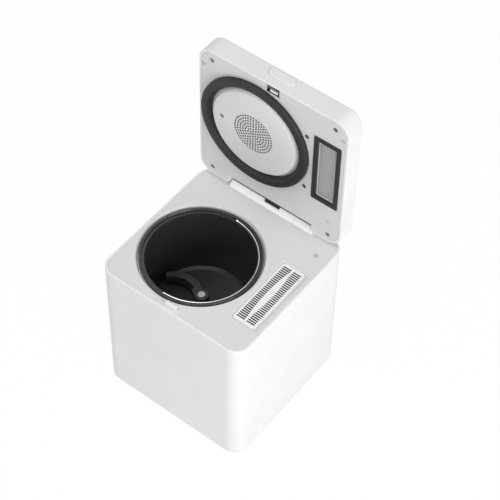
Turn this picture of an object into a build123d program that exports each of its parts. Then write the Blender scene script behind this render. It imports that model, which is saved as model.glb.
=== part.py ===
from build123d import *
import math
import os

# Electric food waste composter. Millimetres, +Z up, front towards -Y.
# The origin is on the floor, under the middle of the whole with its lid open. Sizes here are
# taken from the middle of the body, and save() moves each piece to the origin.
# The lid is modelled standing open at its stop: its inside looks to the front.

os.makedirs("parts", exist_ok=True)


def save(part, name):
    """Move a finished piece to the origin, label it and write it as one STEP file."""
    part = part.moved(Location((0, -origin_y, 0)))
    part.label = name
    export_step(part, f"parts/{name}.step")


# ---------------------------------------------------------------- driving dimensions
body_width = 280.0
body_depth = 276.0
body_height = 285.0  # underside of the base tray to the deck
corner_radius = 26.0
foot_height = 3.0
tray_height = 31.0
lid_thickness = 35.6
lid_gap = 1.0  # between the closed lid and the deck
hinge_drop = 15.1  # hinge axis above the lid's inner face when closed
hinge_back = 4.2  # hinge axis in front of the rear face

shell_wall = 3.0
rim_width = 4.4  # edge of the shell left showing round an inset panel
panel_thickness = 3.0
liner_thickness = 2.5
ledge_width = 4.6
ledge_height = 5.0
panel_clearance = 0.2
liner_clearance = 0.4
seam_chamfer = 0.7
edge_fillet = 1.6

bucket_x = -30.0
bucket_inset = 120.0  # front of the body to the bucket's axis
bucket_y = bucket_inset - body_depth / 2
bucket_height = 138.0
bucket_rim_radius = 99.0
bucket_ring_width = 4.4
bucket_step_radius = 89.8
bucket_floor_radius = 84.0
bucket_wall = 2.2
bucket_floor = 2.5
rim_below_deck = 2.2
rim_height = 6.0
lip_radius = 103.5
lip_gap = 0.9  # between the deck's lip and the bucket's rim

filter_inset = 36.6  # right-hand side of the body to the filter's middle
filter_x = body_width / 2 - filter_inset
filter_y = bucket_y + 2.5
filter_width = 42.8
filter_length = 134.0
filter_corner = 5.0
filter_height = 94.0
filter_clearance = 0.4
filter_below_deck = 1.0
seat_depth = 1.3
seat_margin = 0.7

round_seal_outer = 102.3
round_seal_inner = 84.0
round_seal_proud = 2.8
flat_seal_width = 49.5
flat_seal_length = 139.0
flat_seal_band = 6.5
flat_seal_corner = 2.5
outlet_shift = 1.0
outlet_x = filter_x + outlet_shift  # middle of the lid's outlet, its seal and the seal's seat
flat_seal_proud = 1.6

# ---------------------------------------------------------------- levels and planes
tray_bottom = foot_height
seam_z = tray_bottom + tray_height
deck_z = tray_bottom + body_height
hinge_z = deck_z + lid_gap + hinge_drop
hinge_y = body_depth / 2 - hinge_back
lid_face_y = hinge_y - hinge_drop
lid_back_y = lid_face_y + lid_thickness
origin_y = (lid_back_y - body_depth / 2) / 2
lid_bottom_z = hinge_z - hinge_back
lid_top_z = lid_bottom_z + body_depth
lid_mid_z = (lid_bottom_z + lid_top_z) / 2
rim_top_z = deck_z - rim_below_deck
rim_seat_z = rim_top_z - rim_height
bucket_bottom_z = rim_top_z - bucket_height


def open_z(closed_y):
    """Height, with the lid open, of what lies at closed_y with the lid shut."""
    return hinge_z + hinge_y - closed_y


def level(z):
    """A horizontal plane at height z."""
    return Plane.XY.offset(z)


def lid_plane(depth):
    """A plane parallel to the lid's inner face, depth behind it. Sketches use X and Z."""
    return Plane.XZ.offset(-(lid_face_y + depth))


# half sections of the bucket and all that turns with it are drawn here, then revolved
bucket_section = Plane(origin=(bucket_x, bucket_y, 0), x_dir=(1, 0, 0), z_dir=(0, -1, 0))
bucket_axis = Axis((bucket_x, bucket_y, 0), (0, 0, 1))


def rounded_outline(inset):
    """The body's plan outline, moved inwards by inset."""
    RectangleRounded(
        body_width - 2 * inset, body_depth - 2 * inset, corner_radius - inset
    )


# ---------------------------------------------------------------- fasteners and feet
post_radius = 8.0
post_reach = 16.0  # corner centre to post centre
post_x = body_width / 2 - corner_radius + post_reach * math.cos(math.pi / 4)
post_y = body_depth / 2 - corner_radius + post_reach * math.sin(math.pi / 4)
post_bottom_z = seam_z + 8.0
screw_radius = 1.9
screw_head_radius = 3.6
screw_head_height = 2.6
screw_length = 16.0
screw_clearance = 0.1
screw_grip = 5.0  # thickness of boss under a screw's head
foot_radius = 11.0
foot_peg_radius = 3.0
foot_peg_length = 5.0
foot_inset = 42.0
foot_x = body_width / 2 - foot_inset
foot_y = body_depth / 2 - foot_inset
post_spots = [(sx * post_x, sy * post_y) for sx in (-1, 1) for sy in (-1, 1)]
foot_spots = [(sx * foot_x, sy * foot_y) for sx in (-1, 1) for sy in (-1, 1)]

# ---------------------------------------------------------------- rear openings
fan_x = filter_x - 3.4
fan_y = filter_y + 39.5
grille_x = fan_x
grille_z = 160.0
grille_width = 44.0
grille_height = 38.0
inlet_x = 45.0 - body_width / 2
inlet_z = 62.0
inlet_width = 27.0
inlet_height = 20.0
opening_clearance = 0.2

# control board on standoffs inside the rear wall
board_x = -20.0
board_z = 105.0
board_width = 96.0
board_height = 76.0
board_thickness = 1.6
standoff_radius = 3.5
standoff_length = 6.0
standoff_inset = 6.0
rear_inner_y = body_depth / 2 - shell_wall
standoff_x = board_width / 2 - standoff_inset
standoff_z = board_height / 2 - standoff_inset
board_spots = [
    (board_x + sx * standoff_x, board_z + sz * standoff_z) for sx in (-1, 1) for sz in (-1, 1)
]

# ---------------------------------------------------------------- outer shell
well_flange_radius = lip_radius + 1.0
ledge_top_z = deck_z - panel_thickness
ledge_bottom_z = ledge_top_z - ledge_height

with BuildPart() as outer_shell:
    with BuildSketch(level(seam_z)):
        rounded_outline(0)
    extrude(amount=deck_z - seam_z)
    fillet(outer_shell.faces().sort_by(Axis.Z)[-1].edges(), edge_fillet)
    chamfer(outer_shell.faces().sort_by(Axis.Z)[0].edges(), seam_chamfer)
    with BuildSketch(level(seam_z)):
        rounded_outline(shell_wall)
    extrude(amount=ledge_bottom_z - seam_z, mode=Mode.SUBTRACT)
    with BuildSketch(level(ledge_bottom_z)):
        rounded_outline(rim_width + ledge_width)
    extrude(amount=ledge_height, mode=Mode.SUBTRACT)
    with BuildSketch(level(ledge_top_z)):
        rounded_outline(rim_width)
    extrude(amount=panel_thickness, mode=Mode.SUBTRACT)
    # the ledge gives way to the well's flange where the bucket comes close to the wall
    with BuildSketch(level(ledge_bottom_z)):
        with Locations((bucket_x, bucket_y)):
            Circle(well_flange_radius + 0.5)
    extrude(amount=ledge_height, mode=Mode.SUBTRACT)
    # corner posts take the screws that come up through the tray
    with BuildSketch(level(post_bottom_z)):
        with Locations(*post_spots):
            Circle(post_radius)
    extrude(amount=ledge_bottom_z + 1.0 - post_bottom_z)
    with BuildSketch(level(post_bottom_z)):
        with Locations(*post_spots):
            Circle(screw_radius + screw_clearance)
    extrude(amount=screw_length, mode=Mode.SUBTRACT)
    # standoffs for the control board
    with BuildSketch(Plane.XZ.offset(-rear_inner_y - 0.5)):
        with Locations(*board_spots):
            Circle(standoff_radius)
    extrude(amount=standoff_length + 0.5)
    # rear wall: exhaust opening and mains inlet opening
    with BuildSketch(Plane.XZ.offset(-rear_inner_y + 1)):
        with Locations((grille_x, grille_z)):
            Rectangle(grille_width, grille_height)
        with Locations((inlet_x, inlet_z)):
            Rectangle(inlet_width, inlet_height)
    extrude(amount=-(shell_wall + 2), mode=Mode.SUBTRACT)
save(outer_shell.part, "outer_shell")

# ---------------------------------------------------------------- base tray
tongue_height = 5.0
tongue_width = 2.4
tongue_clearance = 0.15
intake_count = 9
intake_pitch = 9.0
intake_length = 60.0
intake_width = 3.2

with BuildPart() as base_tray:
    with BuildSketch(level(tray_bottom)):
        rounded_outline(0)
    extrude(amount=tray_height)
    fillet(base_tray.faces().sort_by(Axis.Z)[0].edges(), edge_fillet)
    chamfer(base_tray.faces().sort_by(Axis.Z)[-1].edges(), seam_chamfer)
    with BuildSketch(level(tray_bottom + shell_wall)):
        rounded_outline(shell_wall)
    extrude(amount=tray_height, mode=Mode.SUBTRACT)
    # tongue that centres the shell
    with BuildSketch(level(seam_z - tongue_height)):
        rounded_outline(shell_wall - 0.5)
        offset(amount=-tongue_width - 0.5, mode=Mode.SUBTRACT)
    extrude(amount=tongue_height)
    with BuildSketch(level(seam_z)):
        rounded_outline(shell_wall + tongue_clearance)
        offset(amount=-tongue_width, mode=Mode.SUBTRACT)
    extrude(amount=tongue_height)
    # screw bosses meet the shell's corner posts
    with BuildSketch(level(tray_bottom + 1)):
        with Locations(*post_spots):
            Circle(post_radius - tongue_clearance)
    extrude(amount=post_bottom_z - tray_bottom - 1)
    # above the seam the bosses stay clear of the shell's wall
    with BuildSketch(level(seam_z)):
        Rectangle(body_width * 1.2, body_depth * 1.2)
        RectangleRounded(
            body_width - 2 * (shell_wall + tongue_clearance),
            body_depth - 2 * (shell_wall + tongue_clearance),
            corner_radius - shell_wall - tongue_clearance,
            mode=Mode.SUBTRACT,
        )
    extrude(amount=tongue_height * 3, mode=Mode.SUBTRACT)
    # screws pass up through the bosses, their heads in counterbores
    with BuildSketch(level(tray_bottom)):
        with Locations(*post_spots):
            Circle(screw_radius + screw_clearance)
    extrude(amount=post_bottom_z, mode=Mode.SUBTRACT)
    with BuildSketch(level(tray_bottom)):
        with Locations(*post_spots):
            Circle(screw_head_radius + screw_clearance)
    extrude(amount=post_bottom_z - tray_bottom - screw_grip, mode=Mode.SUBTRACT)
    # holes for the feet's pegs, and cooling slots under the board and the motor
    with BuildSketch(level(tray_bottom)):
        with Locations(*foot_spots):
            Circle(foot_peg_radius + screw_clearance)
        with GridLocations(intake_pitch, 0, intake_count, 1):
            SlotOverall(intake_length, intake_width, rotation=90)
    extrude(amount=shell_wall, mode=Mode.SUBTRACT)
save(base_tray.part, "base_tray")

# ---------------------------------------------------------------- feet and base screws
with BuildPart() as feet:
    with BuildSketch(level(0)):
        with Locations(*foot_spots):
            Circle(foot_radius)
    extrude(amount=foot_height)
    chamfer(feet.faces().sort_by(Axis.Z)[0:4].edges(), 0.8)
    with BuildSketch(level(foot_height)):
        with Locations(*foot_spots):
            Circle(foot_peg_radius)
    extrude(amount=foot_peg_length)
save(feet.part, "feet")

head_z = post_bottom_z - screw_grip - screw_head_height
with BuildPart() as base_screws:
    with BuildSketch(level(head_z)):
        with Locations(*post_spots):
            Circle(screw_head_radius)
    extrude(amount=screw_head_height)
    with BuildSketch(level(head_z)):
        with Locations(*post_spots):
            RegularPolygon(1.6, 6)
    extrude(amount=1.5, mode=Mode.SUBTRACT)
    with BuildSketch(level(post_bottom_z - screw_grip)):
        with Locations(*post_spots):
            Circle(screw_radius)
    extrude(amount=screw_grip + screw_length - 2)
save(base_screws.part, "base_screws")

# ---------------------------------------------------------------- deck
lip_depth = rim_top_z - rim_seat_z + rim_below_deck  # deck down to the well's flange
lip_bottom_radius = bucket_rim_radius + lip_gap
bay_wall = 2.0
bay_width = filter_width + 2 * filter_clearance
bay_length = filter_length + 2 * filter_clearance
hinge_half = 83.2  # the housing fills the lid's notch to here on each side
housing_radius = 12.0
housing_gap = 0.9
housing_front_y = hinge_y - housing_radius
striker_inset = 9.6  # front of the body to the middle of the striker's stem
striker_y = striker_inset - body_depth / 2
striker_width = 20.0
striker_stem = 4.0
switch_x = body_width / 2 - 26.0
switch_y = body_depth / 2 - 46.0
switch_radius = 4.0

with BuildPart() as deck_panel:
    with BuildSketch(level(ledge_top_z)):
        rounded_outline(rim_width + panel_clearance)
    extrude(amount=panel_thickness)
    # collar under the bucket opening, down to the well's flange
    with BuildSketch(level(deck_z - lip_depth)):
        with Locations((bucket_x, bucket_y)):
            Circle(well_flange_radius)
    extrude(amount=lip_depth - 1)
    # sloped lip: a cone that leads the bucket in
    with BuildSketch(level(deck_z - lip_depth)):
        with Locations((bucket_x, bucket_y)):
            Circle(lip_bottom_radius)
    with BuildSketch(level(deck_z)):
        with Locations((bucket_x, bucket_y)):
            Circle(lip_radius)
    loft(mode=Mode.SUBTRACT)
    # seat for the flat seal and opening of the filter bay
    with BuildSketch(level(deck_z - seat_depth)):
        with Locations((outlet_x, filter_y)):
            RectangleRounded(
                flat_seal_width + 2 * seat_margin,
                flat_seal_length + 2 * seat_margin,
                flat_seal_corner + seat_margin,
            )
    extrude(amount=seat_depth, mode=Mode.SUBTRACT)
    with BuildSketch(level(ledge_top_z)):
        with Locations((filter_x, filter_y)):
            RectangleRounded(bay_width, bay_length, filter_corner)
        with Locations((0, striker_y)):
            Rectangle(striker_width + 0.2, striker_stem + 0.2)
        with Locations((switch_x, switch_y)):
            Circle(switch_radius + 0.15)
        for side in (-1, 1):
            with Locations((side * (hinge_half - 12), hinge_y - 4)):
                Circle(screw_radius + screw_clearance)
    extrude(amount=panel_thickness, mode=Mode.SUBTRACT)
save(deck_panel.part, "deck_panel")

# ---------------------------------------------------------------- latch striker
striker_rise = 8.6
hook_reach = 3.2
hook_height = 2.4
striker_foot = 2.4
striker_foot_reach = 6.6
ledge_back_y = -body_depth / 2 + rim_width + ledge_width + 0.1
with BuildPart() as latch_striker:
    # profile across the latch: foot under the deck, stem, and a hook that leans to the back
    with BuildSketch(Plane.YZ.offset(-striker_width / 2)):
        with BuildLine():
            Polyline(
                (ledge_back_y, ledge_top_z - striker_foot),
                (ledge_back_y, ledge_top_z),
                (striker_y - striker_stem / 2, ledge_top_z),
                (striker_y - striker_stem / 2, deck_z + striker_rise - 2),
                (striker_y - striker_stem / 2 + 1.4, deck_z + striker_rise),
                (striker_y + striker_stem / 2, deck_z + striker_rise),
                (striker_y + striker_stem / 2 + hook_reach, deck_z + striker_rise - 1.6),
                (striker_y + striker_stem / 2 + hook_reach, deck_z + striker_rise - hook_height),
                (striker_y + striker_stem / 2, deck_z + striker_rise - hook_height),
                (striker_y + striker_stem / 2, ledge_top_z),
                (ledge_back_y + striker_foot_reach, ledge_top_z),
                (ledge_back_y + striker_foot_reach, ledge_top_z - striker_foot),
                close=True,
            )
        make_face()
    extrude(amount=striker_width)
save(latch_striker.part, "latch_striker")

# ---------------------------------------------------------------- lid switch
with BuildPart() as lid_switch:
    with BuildSketch(level(ledge_top_z - 9)):
        with Locations((switch_x, switch_y)):
            RectangleRounded(13, 9, 1)
    extrude(amount=9)
    with BuildSketch(level(ledge_top_z)):
        with Locations((switch_x, switch_y)):
            Circle(switch_radius)
    extrude(amount=panel_thickness - 0.4)
save(lid_switch.part, "lid_switch")

# ---------------------------------------------------------------- hinge housing and pins
pin_radius = 2.5
pin_clearance = 0.05
pin_inner = 66.0
pin_outer = 96.0
saddle_half = 45.0
wire_slot_half = 14.0
sleeve_radius = 9.0
housing_back_y = body_depth / 2


def housing_profile():
    """Section of the hinge housing: a foot on the deck that turns into a barrel."""
    arc_middle = housing_radius * math.sin(math.pi / 4)
    with BuildLine() as outline:
        Line((housing_back_y, deck_z), (housing_front_y, deck_z))
        Line((housing_front_y, deck_z), (housing_front_y, hinge_z))
        ThreePointArc(
            (housing_front_y, hinge_z),
            (hinge_y - arc_middle, hinge_z + arc_middle),
            (hinge_y, hinge_z + housing_radius),
        )
        Line((hinge_y, hinge_z + housing_radius), (housing_back_y, hinge_z + housing_radius))
        Line((housing_back_y, hinge_z + housing_radius), (housing_back_y, deck_z))
    make_face(outline.edges())


with BuildPart() as hinge_saddle:
    with BuildSketch(Plane.YZ.offset(-saddle_half)):
        housing_profile()
    extrude(amount=2 * saddle_half)
    # the slot that the lid's wires come out of
    with BuildSketch(Plane.YZ.offset(-wire_slot_half)):
        with Locations((hinge_y - housing_radius / 2, hinge_z + housing_radius / 2)):
            Rectangle(housing_radius + 4, housing_radius + 2)
        with Locations((hinge_y, hinge_z)):
            Circle(sleeve_radius)
    extrude(amount=2 * wire_slot_half, mode=Mode.SUBTRACT)
save(hinge_saddle.part, "hinge_saddle")

with BuildPart() as hinge_barrels:
    for side in (-1, 1):
        with BuildSketch(Plane.YZ.offset(side * saddle_half)):
            housing_profile()
        extrude(amount=side * (hinge_half - saddle_half))
    with BuildSketch(Plane.YZ.offset(-hinge_half)):
        with Locations((hinge_y, hinge_z)):
            Circle(pin_radius)
    extrude(amount=2 * hinge_half, mode=Mode.SUBTRACT)
save(hinge_barrels.part, "hinge_barrels")

with BuildPart() as hinge_pins:
    for side in (-1, 1):
        with BuildSketch(Plane.YZ.offset(side * pin_inner)):
            with Locations((hinge_y, hinge_z)):
                Circle(pin_radius)
        extrude(amount=side * (pin_outer - pin_inner))
save(hinge_pins.part, "hinge_pins")

with BuildPart() as wire_sleeve:
    with BuildSketch(Plane.YZ.offset(-wire_slot_half)):
        with Locations((hinge_y, hinge_z)):
            Circle(sleeve_radius)
        # flush with the back of the housing
        with Locations((housing_back_y + sleeve_radius, hinge_z)):
            Rectangle(2 * sleeve_radius, 2 * sleeve_radius, mode=Mode.SUBTRACT)
    extrude(amount=2 * wire_slot_half)
save(wire_sleeve.part, "wire_sleeve")

# ---------------------------------------------------------------- well and heater
well_wall = 1.5
well_radius = 96.0
well_depth_below = 16.0  # bucket's underside to the well's floor
well_floor_z = bucket_bottom_z - well_depth_below
shaft_radius = 6.0
seal_outer = 14.0

with BuildPart() as bucket_well:
    with BuildSketch(bucket_section):
        with BuildLine():
            Polyline(
                (seal_outer, well_floor_z),
                (well_radius - 6, well_floor_z),
                (well_radius, well_floor_z + 6),
                (well_radius, rim_seat_z),
                (well_flange_radius, rim_seat_z),
                (well_flange_radius, rim_seat_z - well_wall),
                (well_radius + well_wall, rim_seat_z - well_wall),
                (well_radius + well_wall, well_floor_z + 5),
                (well_radius - 5, well_floor_z - well_wall),
                (seal_outer, well_floor_z - well_wall),
                close=True,
            )
        make_face()
    revolve(axis=bucket_axis)
save(bucket_well.part, "bucket_well")

heater_height = 46.0
heater_lift = 12.0
heater_thickness = 2.4
with BuildPart() as heater_band:
    with BuildSketch(level(well_floor_z + heater_lift)):
        with Locations((bucket_x, bucket_y)):
            Circle(well_radius + well_wall + 0.05 + heater_thickness)
            Circle(well_radius + well_wall + 0.05, mode=Mode.SUBTRACT)
        # the band's ends leave a gap at the front for its clamp
        with Locations((bucket_x, bucket_y - well_radius)):
            Rectangle(12, 20, mode=Mode.SUBTRACT)
    extrude(amount=heater_height)
save(heater_band.part, "heater_band")

# ---------------------------------------------------------------- bucket
bail_wire = 1.2
bail_radius = 92.2
bail_z = rim_top_z - 2.4
bail_hole_gap = 0.06
bail_end = 97.6
step_z = bail_z - 1.6
ring_inner = bucket_rim_radius - bucket_ring_width
hub_bore = 8.0
hub_radius = 16.0
hub_rise = 14.0

with BuildPart() as bucket:
    with BuildSketch(bucket_section):
        with BuildLine():
            Polyline(
                (hub_bore, bucket_bottom_z),
                (bucket_floor_radius - 6, bucket_bottom_z),
                (bucket_floor_radius, bucket_bottom_z + 6),
                (bucket_step_radius + bucket_wall, rim_seat_z),
                (bucket_rim_radius, rim_seat_z),
                (bucket_rim_radius, rim_top_z - 1),
                (bucket_rim_radius - 1, rim_top_z),
                (ring_inner + 0.6, rim_top_z),
                (ring_inner, rim_top_z - 0.8),
                (ring_inner, step_z),
                (bucket_step_radius, step_z),
                (bucket_floor_radius - bucket_wall, bucket_bottom_z + 7),
                (bucket_floor_radius - 7, bucket_bottom_z + bucket_floor),
                (hub_radius, bucket_bottom_z + bucket_floor),
                (hub_radius - 2, bucket_bottom_z + hub_rise),
                (hub_bore, bucket_bottom_z + hub_rise),
                close=True,
            )
        make_face()
    revolve(axis=bucket_axis)
    # the bail's two pivot holes, front and back
    with BuildSketch(Plane.XZ.offset(-bucket_y)):
        with Locations((bucket_x, bail_z)):
            Circle(bail_wire + bail_hole_gap)
    extrude(amount=bail_end + 0.4, both=True, mode=Mode.SUBTRACT)
save(bucket.part, "bucket")

# the bail lies in the rim's step, on the right-hand side
with BuildPart() as bail_handle:
    with BuildSketch(Plane(origin=(bucket_x, bucket_y, bail_z), x_dir=(0, -1, 0), z_dir=(1, 0, 0))):
        with Locations((bail_radius, 0)):
            Circle(bail_wire)
    revolve(axis=bucket_axis, revolution_arc=180)
    for side in (-1, 1):
        with BuildSketch(Plane.XZ.offset(-(bucket_y + side * bail_radius))):
            with Locations((bucket_x, bail_z)):
                Circle(bail_wire)
        extrude(amount=-side * (bail_end - bail_radius))
        with Locations((bucket_x, bucket_y + side * bail_radius, bail_z)):
            Sphere(bail_wire)
save(bail_handle.part, "bail_handle")

bush_clearance = 0.05
with BuildPart() as bucket_bush:
    with BuildSketch(bucket_section):
        with BuildLine():
            Polyline(
                (shaft_radius + bush_clearance, bucket_bottom_z),
                (hub_bore, bucket_bottom_z),
                (hub_bore, bucket_bottom_z + hub_rise),
                (hub_bore + 2.5, bucket_bottom_z + hub_rise),
                (hub_bore + 2.5, bucket_bottom_z + hub_rise + 1.5),
                (shaft_radius + bush_clearance, bucket_bottom_z + hub_rise + 1.5),
                close=True,
            )
        make_face()
    revolve(axis=bucket_axis)
save(bucket_bush.part, "bucket_bush")

# ---------------------------------------------------------------- drive coupling
dog_lobes = 3
dog_radius = 11.0
dog_width = 6.0
dog_gap = 0.4
dog_height = 8.0
socket_radius = 14.0
socket_drop = 10.0
socket_z = bucket_bottom_z - socket_drop


def dog_lobe_shape(grow):
    """Three arms about the shaft, grown by the running gap where they are cut."""
    Circle(shaft_radius + grow)
    with PolarLocations(dog_radius / 2, dog_lobes):
        Rectangle(dog_radius + 2 * grow, dog_width + 2 * grow)


with BuildPart() as stirrer_shaft:
    with BuildSketch(level(socket_z)):
        with Locations((bucket_x, bucket_y)):
            Circle(socket_radius)
    extrude(amount=socket_drop - 0.5)
    with BuildSketch(Plane(origin=(bucket_x, bucket_y, socket_z))):
        dog_lobe_shape(dog_gap)
    extrude(amount=socket_drop - 3, mode=Mode.SUBTRACT)
    with BuildSketch(level(bucket_bottom_z - 3)):
        with Locations((bucket_x, bucket_y)):
            Circle(shaft_radius)
    extrude(amount=3 + hub_rise + 22)
save(stirrer_shaft.part, "stirrer_shaft")

# ---------------------------------------------------------------- stirring blade
blade_hub_radius = 13.0
blade_reach = 79.0
blade_z = bucket_bottom_z + hub_rise + 1.8
blade_hub_height = 19.0
blade_thickness = 5.0
with BuildPart() as stirring_blade:
    with BuildSketch(level(blade_z)):
        with Locations((bucket_x, bucket_y)):
            Circle(blade_hub_radius)
    extrude(amount=blade_hub_height, taper=6)
    # two swept arms, each a curved plate that thins towards its tip
    for turn in (0, 180):
        arm_plane = Plane(origin=(bucket_x, bucket_y, blade_z - 8)).rotated((0, 0, turn))
        with BuildSketch(arm_plane):
            with BuildLine() as arm_outline:
                ThreePointArc((4, -8), (44, -26), (blade_reach, -6))
                Line((blade_reach, -6), (blade_reach - 4, 1))
                ThreePointArc((blade_reach - 4, 1), (42, -14), (4, 6))
                Line((4, 6), (4, -8))
            make_face()
            Circle(hub_radius + 1.5, mode=Mode.SUBTRACT)
        extrude(amount=8 + 9)
        with BuildSketch(arm_plane.offset(8)):
            with BuildLine() as root_outline:
                Polyline((2, -11), (24, -19), (24, -4), (2, 8), close=True)
            make_face()
        extrude(amount=9)
    with BuildSketch(level(blade_z)):
        with Locations((bucket_x, bucket_y)):
            Circle(shaft_radius)
    extrude(amount=hub_rise + 22, mode=Mode.SUBTRACT)
save(stirring_blade.part, "stirring_blade")

# ---------------------------------------------------------------- filter bay and cartridge
bay_top_z = ledge_top_z
bay_floor_z = deck_z - filter_below_deck - filter_height - 1.0
bay_collar_radius = 20.0
fan_top_z = bay_floor_z - bay_wall - 8.0

with BuildPart() as filter_bay:
    with BuildSketch(level(bay_floor_z - bay_wall)):
        with Locations((filter_x, filter_y)):
            RectangleRounded(bay_width + 2 * bay_wall, bay_length + 2 * bay_wall, filter_corner + bay_wall)
    extrude(amount=bay_top_z - bay_floor_z + bay_wall)
    with BuildSketch(level(bay_floor_z)):
        with Locations((filter_x, filter_y)):
            RectangleRounded(bay_width, bay_length, filter_corner)
    extrude(amount=bay_top_z - bay_floor_z, mode=Mode.SUBTRACT)
    # collar that hands the filtered air to the fan
    with BuildSketch(level(fan_top_z)):
        with Locations((fan_x, fan_y)):
            Circle(bay_collar_radius + bay_wall)
    extrude(amount=bay_floor_z - bay_wall - fan_top_z + 0.5)
    with BuildSketch(level(fan_top_z)):
        with Locations((fan_x, fan_y)):
            Circle(bay_collar_radius)
    extrude(amount=bay_floor_z - fan_top_z, mode=Mode.SUBTRACT)
save(filter_bay.part, "filter_bay")

filter_top_z = deck_z - filter_below_deck
cartridge_wall = 1.8
grille_thickness = 2.2
frame_band = 4.2
slit_count = 30
slit_pitch = 4.1
slit_width = 2.3
spine_width = 11.0
spine_height = 2.2
spine_length = filter_length - 2 * frame_band - 4
slit_length = (filter_width - 2 * frame_band) / 2 - 2.2
slit_bars = 4
slit_bar_width = 1.3
slit_bar_height = 0.8

with BuildPart() as filter_cartridge:
    with BuildSketch(level(filter_top_z - filter_height)):
        with Locations((filter_x, filter_y)):
            RectangleRounded(filter_width, filter_length, filter_corner)
    extrude(amount=filter_height)
    fillet(filter_cartridge.faces().sort_by(Axis.Z)[-1].edges(), 0.8)
    with BuildSketch(level(filter_top_z - filter_height)):
        with Locations((filter_x, filter_y)):
            RectangleRounded(
                filter_width - 2 * cartridge_wall, filter_length - 2 * cartridge_wall,
                filter_corner - cartridge_wall,
            )
    extrude(amount=filter_height - grille_thickness, mode=Mode.SUBTRACT)
    # two rows of short slits, one each side of the spine
    with BuildSketch(level(filter_top_z - grille_thickness)):
        for side in (-1, 1):
            with Locations((filter_x + side * (slit_length / 2 + 2.0), filter_y)):
                with GridLocations(0, slit_pitch, 1, slit_count):
                    Rectangle(slit_length, slit_width)
    extrude(amount=grille_thickness, mode=Mode.SUBTRACT)
    # thin bars under the slits turn them into rows of small windows
    with BuildSketch(level(filter_top_z - grille_thickness - slit_bar_height)):
        for side in (-1, 1):
            with Locations((filter_x + side * (slit_length / 2 + 2.0), filter_y)):
                with GridLocations(slit_length / (slit_bars + 1), 0, slit_bars, 1):
                    Rectangle(slit_bar_width, filter_length - 2 * frame_band)
    extrude(amount=slit_bar_height)
    # the spine swells to a finger grip in the middle
    with BuildSketch(Plane(origin=(filter_x, filter_y, filter_top_z - grille_thickness))):
        with BuildLine() as spine_outline:
            ThreePointArc((0, -spine_length / 2), (spine_width / 2, 0), (0, spine_length / 2))
            ThreePointArc((0, spine_length / 2), (-spine_width / 2, 0), (0, -spine_length / 2))
        make_face()
    extrude(amount=grille_thickness + spine_height)
    # ribs across the open underside hold the carbon in
    with BuildSketch(level(filter_top_z - filter_height)):
        with Locations((filter_x, filter_y)):
            with GridLocations(0, filter_length / 5, 1, 4):
                Rectangle(filter_width - 1, 2.4)
    extrude(amount=3)
save(filter_cartridge.part, "filter_cartridge")

carbon_gap = 0.3
carbon_head = 1.5
with BuildPart() as carbon_block:
    with BuildSketch(level(filter_top_z - filter_height + 3)):
        with Locations((filter_x, filter_y)):
            RectangleRounded(
                filter_width - 2 * cartridge_wall - 2 * carbon_gap,
                filter_length - 2 * cartridge_wall - 2 * carbon_gap,
                filter_corner - cartridge_wall - carbon_gap,
            )
    extrude(amount=filter_height - 3 - grille_thickness - carbon_head)
save(carbon_block.part, "carbon_block")

# ---------------------------------------------------------------- fan, duct and rear grille
fan_radius = 31.0
fan_wall = 2.0
fan_height = 36.0
fan_floor_z = fan_top_z - fan_height
duct_width = 34.0
duct_height = 26.0
duct_wall = 1.8
duct_z = (fan_top_z + fan_floor_z) / 2
impeller_radius = 26.0
impeller_bore = 14.0
blade_count = 12
fan_shaft_radius = 1.5
fan_motor_radius = 14.0
fan_motor_height = 20.0

with BuildPart() as fan_housing:
    with BuildSketch(level(fan_floor_z)):
        with Locations((fan_x, fan_y)):
            Circle(fan_radius + fan_wall)
    extrude(amount=fan_height)
    with BuildSketch(level(fan_floor_z + fan_wall)):
        with Locations((fan_x, fan_y)):
            Circle(fan_radius)
    extrude(amount=fan_height - 2 * fan_wall, mode=Mode.SUBTRACT)
    with BuildSketch(level(fan_top_z - fan_wall)):
        with Locations((fan_x, fan_y)):
            Circle(bay_collar_radius)
    extrude(amount=fan_wall, mode=Mode.SUBTRACT)
    with BuildSketch(level(fan_floor_z)):
        with Locations((fan_x, fan_y)):
            Circle(fan_shaft_radius + 1)
    extrude(amount=fan_wall, mode=Mode.SUBTRACT)
    # outlet window towards the rear
    with BuildSketch(Plane.XZ.offset(-fan_y)):
        with Locations((fan_x, duct_z)):
            Rectangle(duct_width - 2 * duct_wall, duct_height - 2 * duct_wall)
    extrude(amount=-(fan_radius + fan_wall + 1), mode=Mode.SUBTRACT)
save(fan_housing.part, "fan_housing")

with BuildPart() as fan_impeller:
    with BuildSketch(level(fan_floor_z + fan_wall + 2)):
        with Locations((fan_x, fan_y)):
            Circle(impeller_radius)
    extrude(amount=1.6)
    with BuildSketch(level(fan_floor_z + fan_wall + 3)):
        with Locations((fan_x, fan_y)):
            with PolarLocations((impeller_radius + impeller_bore) / 2, blade_count):
                Rectangle(impeller_radius - impeller_bore, 1.4, rotation=38)
            Circle(6)
    extrude(amount=fan_height - 2 * fan_wall - 7)
    with BuildSketch(level(fan_floor_z - fan_motor_height / 2)):
        with Locations((fan_x, fan_y)):
            Circle(fan_shaft_radius)
    extrude(amount=fan_motor_height / 2 + 8)
save(fan_impeller.part, "fan_impeller")

with BuildPart() as fan_motor:
    with BuildSketch(level(fan_floor_z - fan_motor_height)):
        with Locations((fan_x, fan_y)):
            Circle(fan_motor_radius)
    extrude(amount=fan_motor_height)
    chamfer(fan_motor.faces().sort_by(Axis.Z)[0].edges(), 1.5)
    with BuildSketch(level(fan_floor_z - fan_motor_height / 2 - 0.5)):
        with Locations((fan_x, fan_y)):
            Circle(fan_shaft_radius + 0.05)
    extrude(amount=fan_motor_height / 2 + 0.5, mode=Mode.SUBTRACT)
save(fan_motor.part, "fan_motor")

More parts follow.
